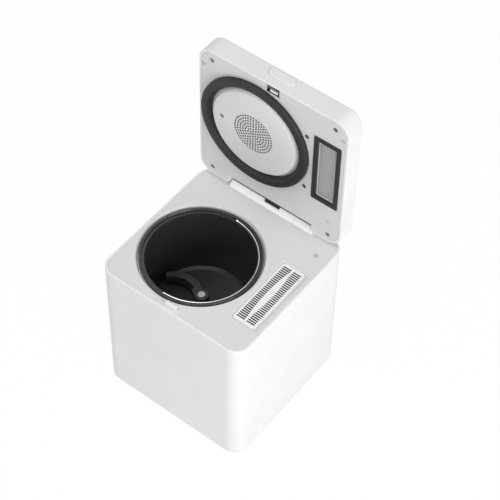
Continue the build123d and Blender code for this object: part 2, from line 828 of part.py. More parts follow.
with BuildPart() as exhaust_duct:
    with BuildSketch(Plane.XZ.offset(-fan_y)):
        with Locations((fan_x, duct_z)):
            Rectangle(duct_width, duct_height)
            Rectangle(duct_width - 2 * duct_wall, duct_height - 2 * duct_wall, mode=Mode.SUBTRACT)
    extrude(amount=-(rear_inner_y - fan_y))
    with BuildSketch(level(duct_z - duct_height)):
        with Locations((fan_x, fan_y)):
            Circle(fan_radius + fan_wall)
    extrude(amount=2 * duct_height, mode=Mode.SUBTRACT)
save(exhaust_duct.part, "exhaust_duct")

slat_count = 8
grille_flange = 2.6
with BuildPart() as rear_grille:
    with BuildSketch(Plane.XZ.offset(-rear_inner_y)):
        with Locations((grille_x, grille_z)):
            Rectangle(grille_width - 2 * opening_clearance, grille_height - 2 * opening_clearance)
    extrude(amount=-shell_wall)
    with BuildSketch(Plane.XZ.offset(-(rear_inner_y + shell_wall))):
        with Locations((grille_x, grille_z)):
            RectangleRounded(grille_width + 2 * grille_flange, grille_height + 2 * grille_flange, 3)
    extrude(amount=-1.2)
    with BuildSketch(Plane.XZ.offset(-rear_inner_y)):
        with Locations((grille_x, grille_z)):
            with GridLocations(0, (grille_height - 4) / slat_count, 1, slat_count):
                Rectangle(grille_width - 6, (grille_height - 4) / slat_count - 1.8)
    extrude(amount=-(shell_wall + 2), mode=Mode.SUBTRACT)
save(rear_grille.part, "rear_grille")

# ---------------------------------------------------------------- mains inlet and control board
inlet_depth = 19.0
socket_width = 22.0
socket_height = 15.0
pin_pitch = 14.0
inlet_flange = 1.4
inlet_face_y = body_depth / 2 + inlet_flange
with BuildPart() as inlet_socket:
    with BuildSketch(Plane.XZ.offset(-(inlet_face_y - inlet_depth))):
        with Locations((inlet_x, inlet_z)):
            Rectangle(inlet_width - 2 * opening_clearance, inlet_height - 2 * opening_clearance)
    extrude(amount=-inlet_depth)
    with BuildSketch(Plane.XZ.offset(-body_depth / 2)):
        with Locations((inlet_x, inlet_z)):
            RectangleRounded(inlet_width + 5, inlet_height + 5, 2.5)
    extrude(amount=-inlet_flange)
    # cavity with two cut corners, as this kind of plug has
    with BuildSketch(Plane(origin=(inlet_x, inlet_face_y, inlet_z), x_dir=(1, 0, 0), z_dir=(0, -1, 0))):
        with BuildLine():
            Polyline(
                (-socket_width / 2, -socket_height / 2),
                (socket_width / 2, -socket_height / 2),
                (socket_width / 2, socket_height / 2 - 4),
                (socket_width / 2 - 4, socket_height / 2),
                (-socket_width / 2 + 4, socket_height / 2),
                (-socket_width / 2, socket_height / 2 - 4),
                close=True,
            )
        make_face()
    extrude(amount=inlet_depth - 3, mode=Mode.SUBTRACT)
save(inlet_socket.part, "inlet_socket")

socket_floor_y = inlet_face_y - (inlet_depth - 3)
with BuildPart() as inlet_pins:
    with BuildSketch(Plane.XZ.offset(-socket_floor_y)):
        with Locations((inlet_x - pin_pitch / 2, inlet_z - 2), (inlet_x + pin_pitch / 2, inlet_z - 2),
                       (inlet_x, inlet_z + 2)):
            Rectangle(2, 4)
    extrude(amount=-(inlet_depth - 6))
save(inlet_pins.part, "inlet_pins")

board_face_y = rear_inner_y - standoff_length
with BuildPart() as control_board:
    with BuildSketch(Plane.XZ.offset(-board_face_y)):
        with Locations((board_x, board_z)):
            Rectangle(board_width, board_height)
    extrude(amount=board_thickness)
    part_face_y = board_face_y - board_thickness
    with BuildSketch(Plane.XZ.offset(-part_face_y)):
        with Locations((board_x - 28, board_z - 12)):
            Rectangle(26, 22)
        with Locations((board_x + 24, board_z + 16)):
            Rectangle(20, 14)
    extrude(amount=16)
    with BuildSketch(Plane.XZ.offset(-part_face_y)):
        with Locations((board_x + 4, board_z - 16), (board_x + 22, board_z - 16)):
            Circle(6.5)
    extrude(amount=20)
    with BuildSketch(Plane.XZ.offset(-part_face_y)):
        with Locations((board_x - 24, board_z + 18)):
            with GridLocations(11, 0, 3, 1):
                Rectangle(8, 9)
    extrude(amount=7)
save(control_board.part, "control_board")

# ---------------------------------------------------------------- gear train
gear_module = 1.5
output_teeth = 60
idler_pinion_teeth = 15
idler_wheel_teeth = 48
motor_teeth = 12
pressure_angle = math.radians(20)
backlash = 0.22
addendum = 0.9
dedendum = 1.2
idler_x = bucket_x + gear_module * (output_teeth + idler_pinion_teeth) / 2
motor_x = idler_x + gear_module * (idler_wheel_teeth + motor_teeth) / 2
cover_thickness = 3.0
gearbox_top_z = well_floor_z - well_wall
gearbox_height = 38.0
gearbox_wall = 3.0
gearbox_floor = 4.0
gearbox_bottom_z = gearbox_top_z - gearbox_height
output_gear_z = gearbox_bottom_z + gearbox_floor + 2
output_gear_width = 10.0
wheel_z = output_gear_z + output_gear_width + 3
wheel_width = 7.0
axle_radius = 4.0
motor_shaft_radius = 3.0
motor_radius = 24.0
motor_height = 60.0
running_gap = 0.05
bush_radius = 10.0


def gear_points(teeth, centre_x, first_tooth):
    """Outline of an involute spur gear, its first tooth turned by first_tooth degrees."""
    pitch_radius = gear_module * teeth / 2
    base_radius = pitch_radius * math.cos(pressure_angle)
    tip_radius = pitch_radius + addendum * gear_module
    root_radius = pitch_radius - dedendum * gear_module
    involute = math.tan(pressure_angle) - pressure_angle
    half_tooth = math.pi / (2 * teeth) - backlash / (2 * pitch_radius) + involute
    flank_start = max(base_radius, root_radius + 0.1)
    flank = []
    for step in range(4):
        radius = flank_start + (tip_radius - flank_start) * step / 3
        roll = math.acos(min(1.0, base_radius / radius))
        flank.append((radius, half_tooth - (math.tan(roll) - roll)))
    points = []
    for tooth in range(teeth):
        middle = math.radians(first_tooth) + 2 * math.pi * tooth / teeth
        for radius, spread in [(root_radius, half_tooth)] + flank:
            points.append((radius, middle - spread))
        for radius, spread in reversed([(root_radius, half_tooth)] + flank):
            points.append((radius, middle + spread))
    return [
        (centre_x + radius * math.cos(angle), bucket_y + radius * math.sin(angle))
        for radius, angle in points
    ]


with BuildPart() as output_gear:
    with BuildSketch(level(output_gear_z)):
        with BuildLine():
            Polyline(*gear_points(output_teeth, bucket_x, 0), close=True)
        make_face()
        with Locations((bucket_x, bucket_y)):
            Circle(shaft_radius, mode=Mode.SUBTRACT)
            with PolarLocations(26, 6):
                Circle(8, mode=Mode.SUBTRACT)
    extrude(amount=output_gear_width)
save(output_gear.part, "output_gear")

with BuildPart() as idler_gear:
    with BuildSketch(level(output_gear_z)):
        with BuildLine():
            Polyline(*gear_points(idler_pinion_teeth, idler_x, 0), close=True)
        make_face()
    extrude(amount=wheel_z - output_gear_z)
    with BuildSketch(level(wheel_z)):
        with BuildLine():
            Polyline(*gear_points(idler_wheel_teeth, idler_x, 0), close=True)
        make_face()
    extrude(amount=wheel_width)
    with BuildSketch(level(output_gear_z)):
        with Locations((idler_x, bucket_y)):
            Circle(axle_radius + running_gap)
    extrude(amount=wheel_z - output_gear_z + wheel_width, mode=Mode.SUBTRACT)
save(idler_gear.part, "idler_gear")

motor_top_z = gearbox_bottom_z
with BuildPart() as motor_pinion:
    with BuildSketch(level(wheel_z - 1)):
        with BuildLine():
            Polyline(*gear_points(motor_teeth, motor_x, 180 / motor_teeth), close=True)
        make_face()
    extrude(amount=wheel_width + 2)
    with BuildSketch(level(motor_top_z - motor_height / 2)):
        with Locations((motor_x, bucket_y)):
            Circle(motor_shaft_radius)
    extrude(amount=wheel_z - 1 - motor_top_z + motor_height / 2)
save(motor_pinion.part, "motor_pinion")

with BuildPart() as drive_motor:
    with BuildSketch(level(motor_top_z - motor_height)):
        with Locations((motor_x, bucket_y)):
            Circle(motor_radius)
    extrude(amount=motor_height)
    chamfer(drive_motor.faces().sort_by(Axis.Z)[0].edges(), 3)
    with BuildSketch(level(motor_top_z - motor_height - 4)):
        with Locations((motor_x, bucket_y)):
            Circle(9)
    extrude(amount=4)
    with BuildSketch(level(motor_top_z - motor_height / 2 - 1)):
        with Locations((motor_x, bucket_y)):
            Circle(motor_shaft_radius + running_gap)
    extrude(amount=motor_height / 2 + 1, mode=Mode.SUBTRACT)
save(drive_motor.part, "drive_motor")

with BuildPart() as idler_axle:
    with BuildSketch(level(gearbox_bottom_z + 1)):
        with Locations((idler_x, bucket_y)):
            Circle(axle_radius)
    extrude(amount=gearbox_height - 2)
save(idler_axle.part, "idler_axle")


def gearbox_outline(grow):
    """Plan of the gearbox: a hull round the three gear centres."""
    with Locations((bucket_x, bucket_y)):
        Circle(gear_module * output_teeth / 2 + 4 + grow)
    with Locations((idler_x, bucket_y)):
        Circle(gear_module * idler_wheel_teeth / 2 + 4 + grow)
    with Locations((motor_x, bucket_y)):
        Circle(gear_module * motor_teeth / 2 + 5 + grow)
    make_hull()


leg_radius = 7.0
leg_spots = [
    (bucket_x - 40, bucket_y),
    (bucket_x, bucket_y - 40),
    (bucket_x, bucket_y + 40),
    (idler_x - 8, bucket_y + 30),
    (idler_x - 8, bucket_y - 30),
]
with BuildPart() as gearbox_housing:
    with BuildSketch(level(gearbox_bottom_z)):
        gearbox_outline(gearbox_wall)
    extrude(amount=gearbox_height - cover_thickness)
    with BuildSketch(level(gearbox_bottom_z + gearbox_floor)):
        gearbox_outline(0)
    extrude(amount=gearbox_height, mode=Mode.SUBTRACT)
    # legs stand on the tray's floor
    with BuildSketch(level(tray_bottom + shell_wall)):
        with Locations(*leg_spots):
            Circle(leg_radius)
    extrude(amount=gearbox_bottom_z - tray_bottom - shell_wall + 1)
    with BuildSketch(level(gearbox_bottom_z)):
        with Locations((bucket_x, bucket_y)):
            Circle(bush_radius)
        with Locations((idler_x, bucket_y)):
            Circle(axle_radius)
        with Locations((motor_x, bucket_y)):
            Circle(motor_shaft_radius + 2)
    extrude(amount=gearbox_floor, mode=Mode.SUBTRACT)
save(gearbox_housing.part, "gearbox_housing")

with BuildPart() as gearbox_cover:
    with BuildSketch(level(gearbox_top_z - cover_thickness)):
        gearbox_outline(gearbox_wall)
    extrude(amount=cover_thickness)
    with BuildSketch(level(gearbox_top_z - cover_thickness - 3)):
        with Locations((bucket_x, bucket_y)):
            Circle(bush_radius + 3)
    extrude(amount=3)
    with BuildSketch(level(gearbox_top_z - cover_thickness - 3)):
        with Locations((bucket_x, bucket_y)):
            Circle(bush_radius)
        with Locations((idler_x, bucket_y)):
            Circle(axle_radius)
    extrude(amount=cover_thickness + 3, mode=Mode.SUBTRACT)
save(gearbox_cover.part, "gearbox_cover")

with BuildPart() as shaft_bushes:
    with BuildSketch(level(gearbox_bottom_z)):
        with Locations((bucket_x, bucket_y)):
            Circle(bush_radius)
            Circle(shaft_radius + running_gap, mode=Mode.SUBTRACT)
    extrude(amount=gearbox_floor)
    with BuildSketch(level(gearbox_top_z - cover_thickness - 3)):
        with Locations((bucket_x, bucket_y)):
            Circle(bush_radius)
            Circle(shaft_radius + running_gap, mode=Mode.SUBTRACT)
    extrude(amount=cover_thickness + 3)
save(shaft_bushes.part, "shaft_bushes")

seal_height = 3.0
with BuildPart() as shaft_seal:
    with BuildSketch(level(gearbox_top_z)):
        with Locations((bucket_x, bucket_y)):
            Circle(seal_outer)
            Circle(shaft_radius + running_gap, mode=Mode.SUBTRACT)
    extrude(amount=seal_height)
    chamfer(shaft_seal.faces().sort_by(Axis.Z)[-1].edges().sort_by(SortBy.LENGTH)[-1:], 0.8)
save(shaft_seal.part, "shaft_seal")

dog_z = socket_z + socket_drop - 3 - dog_height - 0.6
with BuildPart() as output_shaft:
    with BuildSketch(level(gearbox_bottom_z)):
        with Locations((bucket_x, bucket_y)):
            Circle(shaft_radius)
    extrude(amount=dog_z - gearbox_bottom_z + 1)
    with BuildSketch(Plane(origin=(bucket_x, bucket_y, dog_z))):
        dog_lobe_shape(0)
    extrude(amount=dog_height)
save(output_shaft.part, "output_shaft")

# ---------------------------------------------------------------- lid shell
notch_half = hinge_half + 0.5
notch_top_z = hinge_z + housing_radius + housing_gap
ear_outer = 98.0
lid_skin = 3.0
boss_radius = 4.6
lid_screw_radius = 1.4
lid_screw_head = 3.7
lid_recess_radius = 4.4
lid_recess_depth = 1.3
ring_z = open_z(bucket_y)
corner_screw_x = body_width / 2 - 25.0
upper_screw_z = lid_top_z - 18.7
lower_screw_z = lid_bottom_z + 16.1
middle_screw_x = bucket_x + 95.5  # between the ring seal and the flat seal
lid_screw_spots = [
    (-corner_screw_x, upper_screw_z),
    (corner_screw_x, upper_screw_z),
    (-corner_screw_x, lower_screw_z),
    (corner_screw_x, lower_screw_z),
    (middle_screw_x, ring_z + 53.1),
    (middle_screw_x, ring_z - 59.4),
]
plate_screw_spot = (bucket_x - 61.2, ring_z + 0.5)
button_width = 48.0
button_height = 17.0
button_depth = 22.7  # centre of the button behind the lid's inner face
button_gap = 0.4
button_proud = 1.2
flange_width = 53.0
flange_height = 19.4
flange_thickness = 2.2
flange_top_z = lid_top_z - shell_wall - 0.3
spring_seat_z = lid_top_z - 20.0
spring_x = 17.0
# the slot spans the striker's hook and stem, with room for the catch under the hook
hook_tip_z = open_z(striker_y + striker_stem / 2 + hook_reach)
slot_half = striker_width / 2 + 2.5
slot_low_z = hook_tip_z - 5.8
slot_high_z = open_z(striker_y - striker_stem / 2) + 4.7


def lid_outline(inset):
    """The lid's outline, moved inwards by inset."""
    with Locations((0, lid_mid_z)):
        RectangleRounded(body_width - 2 * inset, body_depth - 2 * inset, corner_radius - inset)


with BuildPart() as lid_shell:
    with BuildSketch(lid_plane(0)):
        lid_outline(0)
    extrude(amount=-lid_thickness)
    fillet(lid_shell.faces().sort_by(Axis.Y)[-1].edges(), 3)
    fillet(lid_shell.faces().sort_by(Axis.Y)[0].edges(), 0.8)
    with BuildSketch(lid_plane(0)):
        lid_outline(rim_width)
    extrude(amount=-liner_thickness, mode=Mode.SUBTRACT)
    with BuildSketch(lid_plane(liner_thickness)):
        lid_outline(rim_width + ledge_width)
    extrude(amount=-4, mode=Mode.SUBTRACT)
    with BuildSketch(lid_plane(liner_thickness + 4)):
        lid_outline(shell_wall)
    extrude(amount=-(lid_thickness - lid_skin - liner_thickness - 4), mode=Mode.SUBTRACT)
    # ears that hold the hinge pins, and the wall of the notch between them
    with BuildSketch(lid_plane(liner_thickness)):
        with Locations((0, (lid_bottom_z + 0.5 + notch_top_z + 3) / 2)):
            Rectangle(2 * ear_outer, notch_top_z + 3 - lid_bottom_z - 0.5)
    extrude(amount=-(lid_thickness - liner_thickness - 1))
    with BuildSketch(lid_plane(-1)):
        with Locations((0, (lid_bottom_z - 20 + notch_top_z) / 2)):
            Rectangle(2 * notch_half, notch_top_z - lid_bottom_z + 20)
    extrude(amount=-(lid_thickness - lid_skin + 1), mode=Mode.SUBTRACT)
    with BuildSketch(Plane.YZ.offset(-pin_outer - 0.4)):
        with Locations((hinge_y, hinge_z)):
            Circle(pin_radius + pin_clearance)
    extrude(amount=2 * pin_outer + 0.8, mode=Mode.SUBTRACT)
    # screw bosses from the skin to the back of the liner
    with BuildSketch(lid_plane(liner_thickness)):
        with Locations(*lid_screw_spots, plate_screw_spot):
            Circle(boss_radius)
    extrude(amount=-(lid_thickness - liner_thickness - 1))
    with BuildSketch(lid_plane(0)):
        with Locations(*lid_screw_spots, plate_screw_spot):
            Circle(lid_screw_radius)
    extrude(amount=-18, mode=Mode.SUBTRACT)
    # spring seats, one each side of the catch
    with BuildSketch(lid_plane(13)):
        with Locations((-spring_x, spring_seat_z - 1.5), (spring_x, spring_seat_z - 1.5)):
            Rectangle(12, 3)
    extrude(amount=-(lid_thickness - 13 - 1))
    # openings for the button and for the latch
    with BuildSketch(Plane(origin=(0, lid_face_y + button_depth, lid_top_z - shell_wall - 1))):
        SlotOverall(button_width, button_height)
    extrude(amount=shell_wall + 2, mode=Mode.SUBTRACT)
    with BuildSketch(lid_plane(0)):
        with Locations((0, (slot_low_z + slot_high_z) / 2)):
            Rectangle(2 * slot_half, slot_high_z - slot_low_z)
    extrude(amount=-(liner_thickness + 8), mode=Mode.SUBTRACT)
save(lid_shell.part, "lid_shell")

# ---------------------------------------------------------------- lid liner
outlet_z = open_z(filter_y)
outlet_width = flat_seal_width - 2 * flat_seal_band
outlet_length = flat_seal_length - 2 * flat_seal_band
outlet_corner = 1.5
skirt_wall = 2.0
skirt_depth = 6.5
rose_opening = 40.0
seal_foot_inner = round_seal_inner + 2.4
seal_foot_outer = round_seal_outer - 2.4
seal_foot_depth = 1.2
magnet_radius = 4.0
magnet_thickness = 1.8
magnet_clearance = 0.15
magnet_spot = (switch_x, open_z(switch_y))  # over the lid switch when the lid is shut

with BuildPart() as lid_liner:
    with BuildSketch(lid_plane(0)):
        lid_outline(rim_width + liner_clearance)
    extrude(amount=-liner_thickness)
    with BuildSketch(lid_plane(liner_thickness)):
        with Locations((outlet_x, outlet_z)):
            RectangleRounded(outlet_width + 2 * skirt_wall, outlet_length + 2 * skirt_wall, 3)
    extrude(amount=-(skirt_depth - liner_thickness))
    with BuildSketch(lid_plane(0)):
        with Locations((outlet_x, outlet_z)):
            RectangleRounded(outlet_width, outlet_length, outlet_corner)
        with Locations((bucket_x, ring_z)):
            Circle(rose_opening)
        with Locations((0, (slot_low_z + slot_high_z) / 2)):
            RectangleRounded(2 * slot_half, slot_high_z - slot_low_z, 1)
        with Locations((0, (lid_bottom_z - 20 + notch_top_z) / 2)):
            Rectangle(2 * notch_half, notch_top_z - lid_bottom_z + 20)
        with Locations(*lid_screw_spots, plate_screw_spot):
            Circle(lid_screw_radius)
    extrude(amount=-skirt_depth, mode=Mode.SUBTRACT)
    with BuildSketch(lid_plane(0)):
        with Locations(*lid_screw_spots):
            Circle(lid_recess_radius)
        with Locations((bucket_x, ring_z)):
            Circle(seal_foot_outer)
            Circle(seal_foot_inner, mode=Mode.SUBTRACT)
    extrude(amount=-lid_recess_depth, mode=Mode.SUBTRACT)
    with BuildSketch(lid_plane(0)):
        with Locations(magnet_spot):
            Circle(magnet_radius + magnet_clearance)
    extrude(amount=-magnet_thickness, mode=Mode.SUBTRACT)
save(lid_liner.part, "lid_liner")

# the magnet that tells the deck's switch the lid is shut
with BuildPart() as switch_magnet:
    with BuildSketch(lid_plane(0)):
        with Locations(magnet_spot):
            Circle(magnet_radius)
    extrude(amount=-magnet_thickness)
save(switch_magnet.part, "switch_magnet")

# ---------------------------------------------------------------- seals on the lid
with BuildPart() as round_seal:
    with BuildSketch(lid_plane(0)):
        with Locations((bucket_x, ring_z)):
            Circle(round_seal_outer)
            Circle(round_seal_inner, mode=Mode.SUBTRACT)
    extrude(amount=round_seal_proud)
    fillet(round_seal.faces().sort_by(Axis.Y)[0].edges(), 1.2)
    with BuildSketch(lid_plane(0)):
        with Locations((bucket_x, ring_z)):
            Circle(seal_foot_outer - 0.1)
            Circle(seal_foot_inner + 0.1, mode=Mode.SUBTRACT)
    extrude(amount=-seal_foot_depth)
save(round_seal.part, "round_seal")

mesh_depth = 2.6
mesh_thickness = 0.8
mesh_fit = 0.1
seal_collar = 1.2


def outlet_plug(inset):
    """What fills the outlet's opening, moved inwards by inset."""
    with Locations((outlet_x, outlet_z)):
        RectangleRounded(outlet_width - 2 * inset, outlet_length - 2 * inset, outlet_corner - inset)


with BuildPart() as flat_seal:
    with BuildSketch(lid_plane(0)):
        with Locations((outlet_x, outlet_z)):
            RectangleRounded(flat_seal_width, flat_seal_length, flat_seal_corner)
    extrude(amount=flat_seal_proud)
    chamfer(flat_seal.faces().sort_by(Axis.Y)[0].edges(), 0.4)
    # a collar lines the opening and holds the mesh down
    with BuildSketch(lid_plane(0)):
        outlet_plug(mesh_fit)
    extrude(amount=-mesh_depth)
    with BuildSketch(lid_plane(-flat_seal_proud)):
        outlet_plug(seal_collar)
    extrude(amount=-(flat_seal_proud + mesh_depth), mode=Mode.SUBTRACT)
save(flat_seal.part, "flat_seal")

with BuildPart() as outlet_mesh:
    with BuildSketch(lid_plane(mesh_depth)):
        outlet_plug(mesh_fit)
    extrude(amount=-mesh_thickness)
save(outlet_mesh.part, "outlet_mesh")

# ---------------------------------------------------------------- vent plate with its rose of holes
plate_radius = round_seal_inner - 0.5
plate_top_radius = 78.0
plate_proud = 6.2
plate_wall = 2.2
plate_side = 3.0
rose_rings = 5
rose_pitch = 7.0
rose_hole = 1.3
plate_section = Plane(origin=(bucket_x, lid_face_y, ring_z), x_dir=(1, 0, 0), z_dir=(0, 0, -1))

with BuildPart() as vent_plate:
    # a shallow dish turned upside down: sloped side, flat top
    with BuildSketch(plate_section):
        with BuildLine():
            Polyline(
                (plate_radius, 0),
                (plate_top_radius, plate_proud),
                (0, plate_proud),
                (0, plate_proud - plate_wall),
                (plate_top_radius - plate_side, plate_proud - plate_wall),
                (plate_radius - plate_side, 0),
                close=True,
            )
        make_face()
    revolve(axis=Axis((bucket_x, lid_face_y, ring_z), (0, 1, 0)))
    fillet(vent_plate.faces().sort_by(Axis.Y)[0].edges(), 0.8)
    # boss for the plate's one screw
    with BuildSketch(lid_plane(0)):
        with Locations(plate_screw_spot):
            Circle(boss_radius)
    extrude(amount=plate_proud - 1)
    with BuildSketch(lid_plane(-plate_proud)):
        with Locations(plate_screw_spot):
            Circle(lid_recess_radius)
    extrude(amount=-lid_recess_depth, mode=Mode.SUBTRACT)
    with BuildSketch(lid_plane(-plate_proud)):
        with Locations(plate_screw_spot):
            Circle(lid_screw_radius)
        with Locations((bucket_x, ring_z)):
            Circle(rose_hole)
            for ring in range(1, rose_rings + 1):
                with PolarLocations(ring * rose_pitch, 6 * ring):
                    Circle(rose_hole)
    extrude(amount=-plate_proud, mode=Mode.SUBTRACT)
save(vent_plate.part, "vent_plate")

# ---------------------------------------------------------------- duct inside the lid
duct_half = 34.0
lid_duct_depth = 14.0
lid_duct_wall = 1.8


def lid_duct_outline(grow):
    """Plan of the duct from the rose across to the outlet."""
    with Locations((bucket_x, ring_z)):
        Circle(rose_opening + 4 + grow)
    with Locations(((bucket_x + outlet_x) / 2, ring_z)):
        Rectangle(outlet_x - bucket_x, 2 * (duct_half + grow))
    with Locations((outlet_x, outlet_z)):
        Rectangle(
            outlet_width + 2 * skirt_wall + 1 + 2 * grow, outlet_length + 2 * skirt_wall + 1 + 2 * grow
        )


with BuildPart() as lid_duct:
    with BuildSketch(lid_plane(liner_thickness)):
        lid_duct_outline(lid_duct_wall)
    extrude(amount=-lid_duct_depth)
    with BuildSketch(lid_plane(liner_thickness)):
        lid_duct_outline(0)
    extrude(amount=-(lid_duct_depth - lid_duct_wall), mode=Mode.SUBTRACT)
save(lid_duct.part, "lid_duct")

touch_board_z = lid_top_z - 65.9
with BuildPart() as touch_board:
    with BuildSketch(lid_plane(lid_thickness - lid_skin - board_thickness)):
        with Locations((0, touch_board_z)):
            Rectangle(92, 34)
    extrude(amount=-board_thickness)
    with BuildSketch(lid_plane(lid_thickness - lid_skin - board_thickness)):
        with Locations((0, touch_board_z)):
            with GridLocations(22, 0, 4, 1):
                Rectangle(7, 7)
    extrude(amount=2)
save(touch_board.part, "touch_board")

with BuildPart() as lid_screws:
    with BuildSketch(lid_plane(lid_recess_depth)):
        with Locations(*lid_screw_spots):
            Circle(lid_screw_head)
    extrude(amount=0.9)
    with BuildSketch(lid_plane(lid_recess_depth)):
        with Locations(*lid_screw_spots):
            Circle(lid_screw_radius)
    extrude(amount=-14)
    with BuildSketch(lid_plane(lid_recess_depth - plate_proud)):
        with Locations(plate_screw_spot):
            Circle(lid_screw_head)
    extrude(amount=0.9)
    with BuildSketch(lid_plane(lid_recess_depth - plate_proud)):
        with Locations(plate_screw_spot):
            Circle(lid_screw_radius)
    extrude(amount=-18)
save(lid_screws.part, "lid_screws")

bumper_radius = 3.6
bumper_x = body_width / 2 - 9.0
bumper_z = lid_top_z - 32.9
bumper_proud = 0.7
with BuildPart() as lid_bumpers:
    with BuildSketch(lid_plane(0)):
        with Locations((-bumper_x, bumper_z), (bumper_x, bumper_z)):
            Circle(bumper_radius)
    extrude(amount=bumper_proud)
save(lid_bumpers.part, "lid_bumpers")

# ---------------------------------------------------------------- release button, springs and catch
with BuildPart() as release_button:
    with BuildSketch(Plane(origin=(0, lid_face_y + button_depth, flange_top_z))):
        SlotOverall(button_width - 2 * button_gap, button_height - 2 * button_gap)
    extrude(amount=lid_top_z + button_proud - flange_top_z)
    fillet(release_button.faces().sort_by(Axis.Z)[-1].edges(), 1)
    with BuildSketch(Plane(origin=(0, lid_face_y + button_depth, flange_top_z - flange_thickness))):
        SlotOverall(flange_width, flange_height)
    extrude(amount=flange_thickness)
save(release_button.part, "release_button")

spring_top_z = flange_top_z - flange_thickness
spring_radius = 3.0
spring_wire = 0.5
spring_turns = 5
spring_height = spring_top_z - spring_seat_z - 2 * spring_wire - 0.1
with BuildPart() as button_springs:
    for side in (-1, 1):
        foot = Vector(side * spring_x, lid_face_y + button_depth, spring_seat_z + spring_wire + 0.05)
        with BuildLine(Plane(origin=foot)):
            coil = Helix(pitch=spring_height / spring_turns, height=spring_height, radius=spring_radius)
        with BuildSketch(Plane(origin=coil @ 0, z_dir=coil % 0)):
            Circle(spring_wire)
        sweep(path=coil, is_frenet=True)
save(button_springs.part, "button_springs")

catch_half = 7.5
nose_tip_z = hook_tip_z + 1.8
nose_depth = 2.7
nose_thickness = 2.2
nose_height = nose_tip_z - slot_low_z
shoulder_drop = 2.5  # nose tip down to the shoulder that clears the striker's hook
arm_depth = 5.3
arm_z = lid_top_z - 28.0
riser_depth = 20.0
with BuildPart() as latch_catch:
    with BuildSketch(Plane.YZ.offset(-catch_half)):
        with BuildLine():
            Polyline(
                (lid_face_y + arm_depth, arm_z),
                (lid_face_y + arm_depth, nose_tip_z - nose_height),
                (lid_face_y + nose_depth, nose_tip_z - nose_height),
                (lid_face_y + nose_depth, nose_tip_z - 1.5),
                (lid_face_y + nose_depth + 0.6, nose_tip_z),
                (lid_face_y + nose_depth + nose_thickness, nose_tip_z),
                (lid_face_y + nose_depth + nose_thickness, nose_tip_z - shoulder_drop),
                (lid_face_y + arm_depth + nose_thickness, nose_tip_z - shoulder_drop),
                (lid_face_y + arm_depth + nose_thickness, arm_z + 4),
                (lid_face_y + riser_depth, arm_z + 4),
                (lid_face_y + riser_depth, spring_top_z),
                (lid_face_y + riser_depth + 5, spring_top_z),
                (lid_face_y + riser_depth + 5, arm_z),
                close=True,
            )
        make_face()
    extrude(amount=2 * catch_half)
save(latch_catch.part, "latch_catch")

# ---------------------------------------------------------------- catch guide
# a dark pocket on the liner's back that closes the latch slot from behind
guide_half = 15.7
guide_wall = 1.5
guide_depth = 9.0
guide_top_z = lid_top_z - shell_wall - 0.4
guide_low_z = slot_low_z - 0.3
cheek_top_z = lid_top_z - rim_width - ledge_width - 0.5
with BuildPart() as catch_guide:
    with BuildSketch(lid_plane(guide_depth)):
        with Locations((0, (guide_low_z + guide_top_z) / 2)):
            Rectangle(2 * guide_half, guide_top_z - guide_low_z)
    extrude(amount=-guide_wall)
    with BuildSketch(lid_plane(liner_thickness)):
        for side in (-1, 1):
            with Locations((side * (guide_half - guide_wall / 2), (guide_low_z + cheek_top_z) / 2)):
                Rectangle(guide_wall, cheek_top_z - guide_low_z)
    extrude(amount=-(guide_depth - liner_thickness))
save(catch_guide.part, "catch_guide")
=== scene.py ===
import math

import bmesh
import bpy
from mathutils import Matrix, Vector


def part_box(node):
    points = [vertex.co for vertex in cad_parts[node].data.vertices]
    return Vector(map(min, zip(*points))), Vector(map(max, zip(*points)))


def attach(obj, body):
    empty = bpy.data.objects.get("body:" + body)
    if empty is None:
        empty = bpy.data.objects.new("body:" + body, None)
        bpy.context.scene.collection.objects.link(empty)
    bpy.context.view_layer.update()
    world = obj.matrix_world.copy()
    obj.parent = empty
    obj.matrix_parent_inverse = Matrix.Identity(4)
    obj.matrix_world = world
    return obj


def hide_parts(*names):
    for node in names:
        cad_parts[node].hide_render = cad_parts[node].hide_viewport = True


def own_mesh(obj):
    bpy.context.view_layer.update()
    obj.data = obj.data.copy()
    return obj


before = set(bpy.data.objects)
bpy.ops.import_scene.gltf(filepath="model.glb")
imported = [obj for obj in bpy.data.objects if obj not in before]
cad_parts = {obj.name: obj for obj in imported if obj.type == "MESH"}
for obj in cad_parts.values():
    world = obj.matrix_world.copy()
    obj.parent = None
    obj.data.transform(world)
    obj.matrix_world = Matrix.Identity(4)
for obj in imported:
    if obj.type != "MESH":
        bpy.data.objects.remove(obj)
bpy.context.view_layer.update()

# ---------------------------------------------------------------- Camera
# A long lens looks steeply down on the right front corner of the machine, from 2.4 m
# over the floor, with the lid standing open behind the bucket.
camera_spot = (1.017347, -1.302243, 2.364487)
camera_right = (0.7913878, 0.61116121, 0.01368669)
camera_up = (-0.48423517, 0.61305255, 0.62424584)
camera_back = (0.37312418, -0.50064812, 0.78110806)

lens = bpy.data.cameras.new("camera")
lens.sensor_width = 36.0
lens.lens = 121.19
lens.clip_start = 0.05
lens.clip_end = 60.0
camera = bpy.data.objects.new("camera", lens)
turn = Matrix((camera_right, camera_up, camera_back)).transposed()
camera.matrix_world = Matrix.Translation(camera_spot) @ turn.to_4x4()
bpy.context.scene.collection.objects.link(camera)
bpy.context.scene.camera = camera

# ---------------------------------------------------------------- Studio
# The machine stands on a white sweep. A large soft box on the right lights the side of
# the body, one overhead lights the deck, and a weaker one fills the front.
bpy.context.scene.view_settings.view_transform = "Standard"


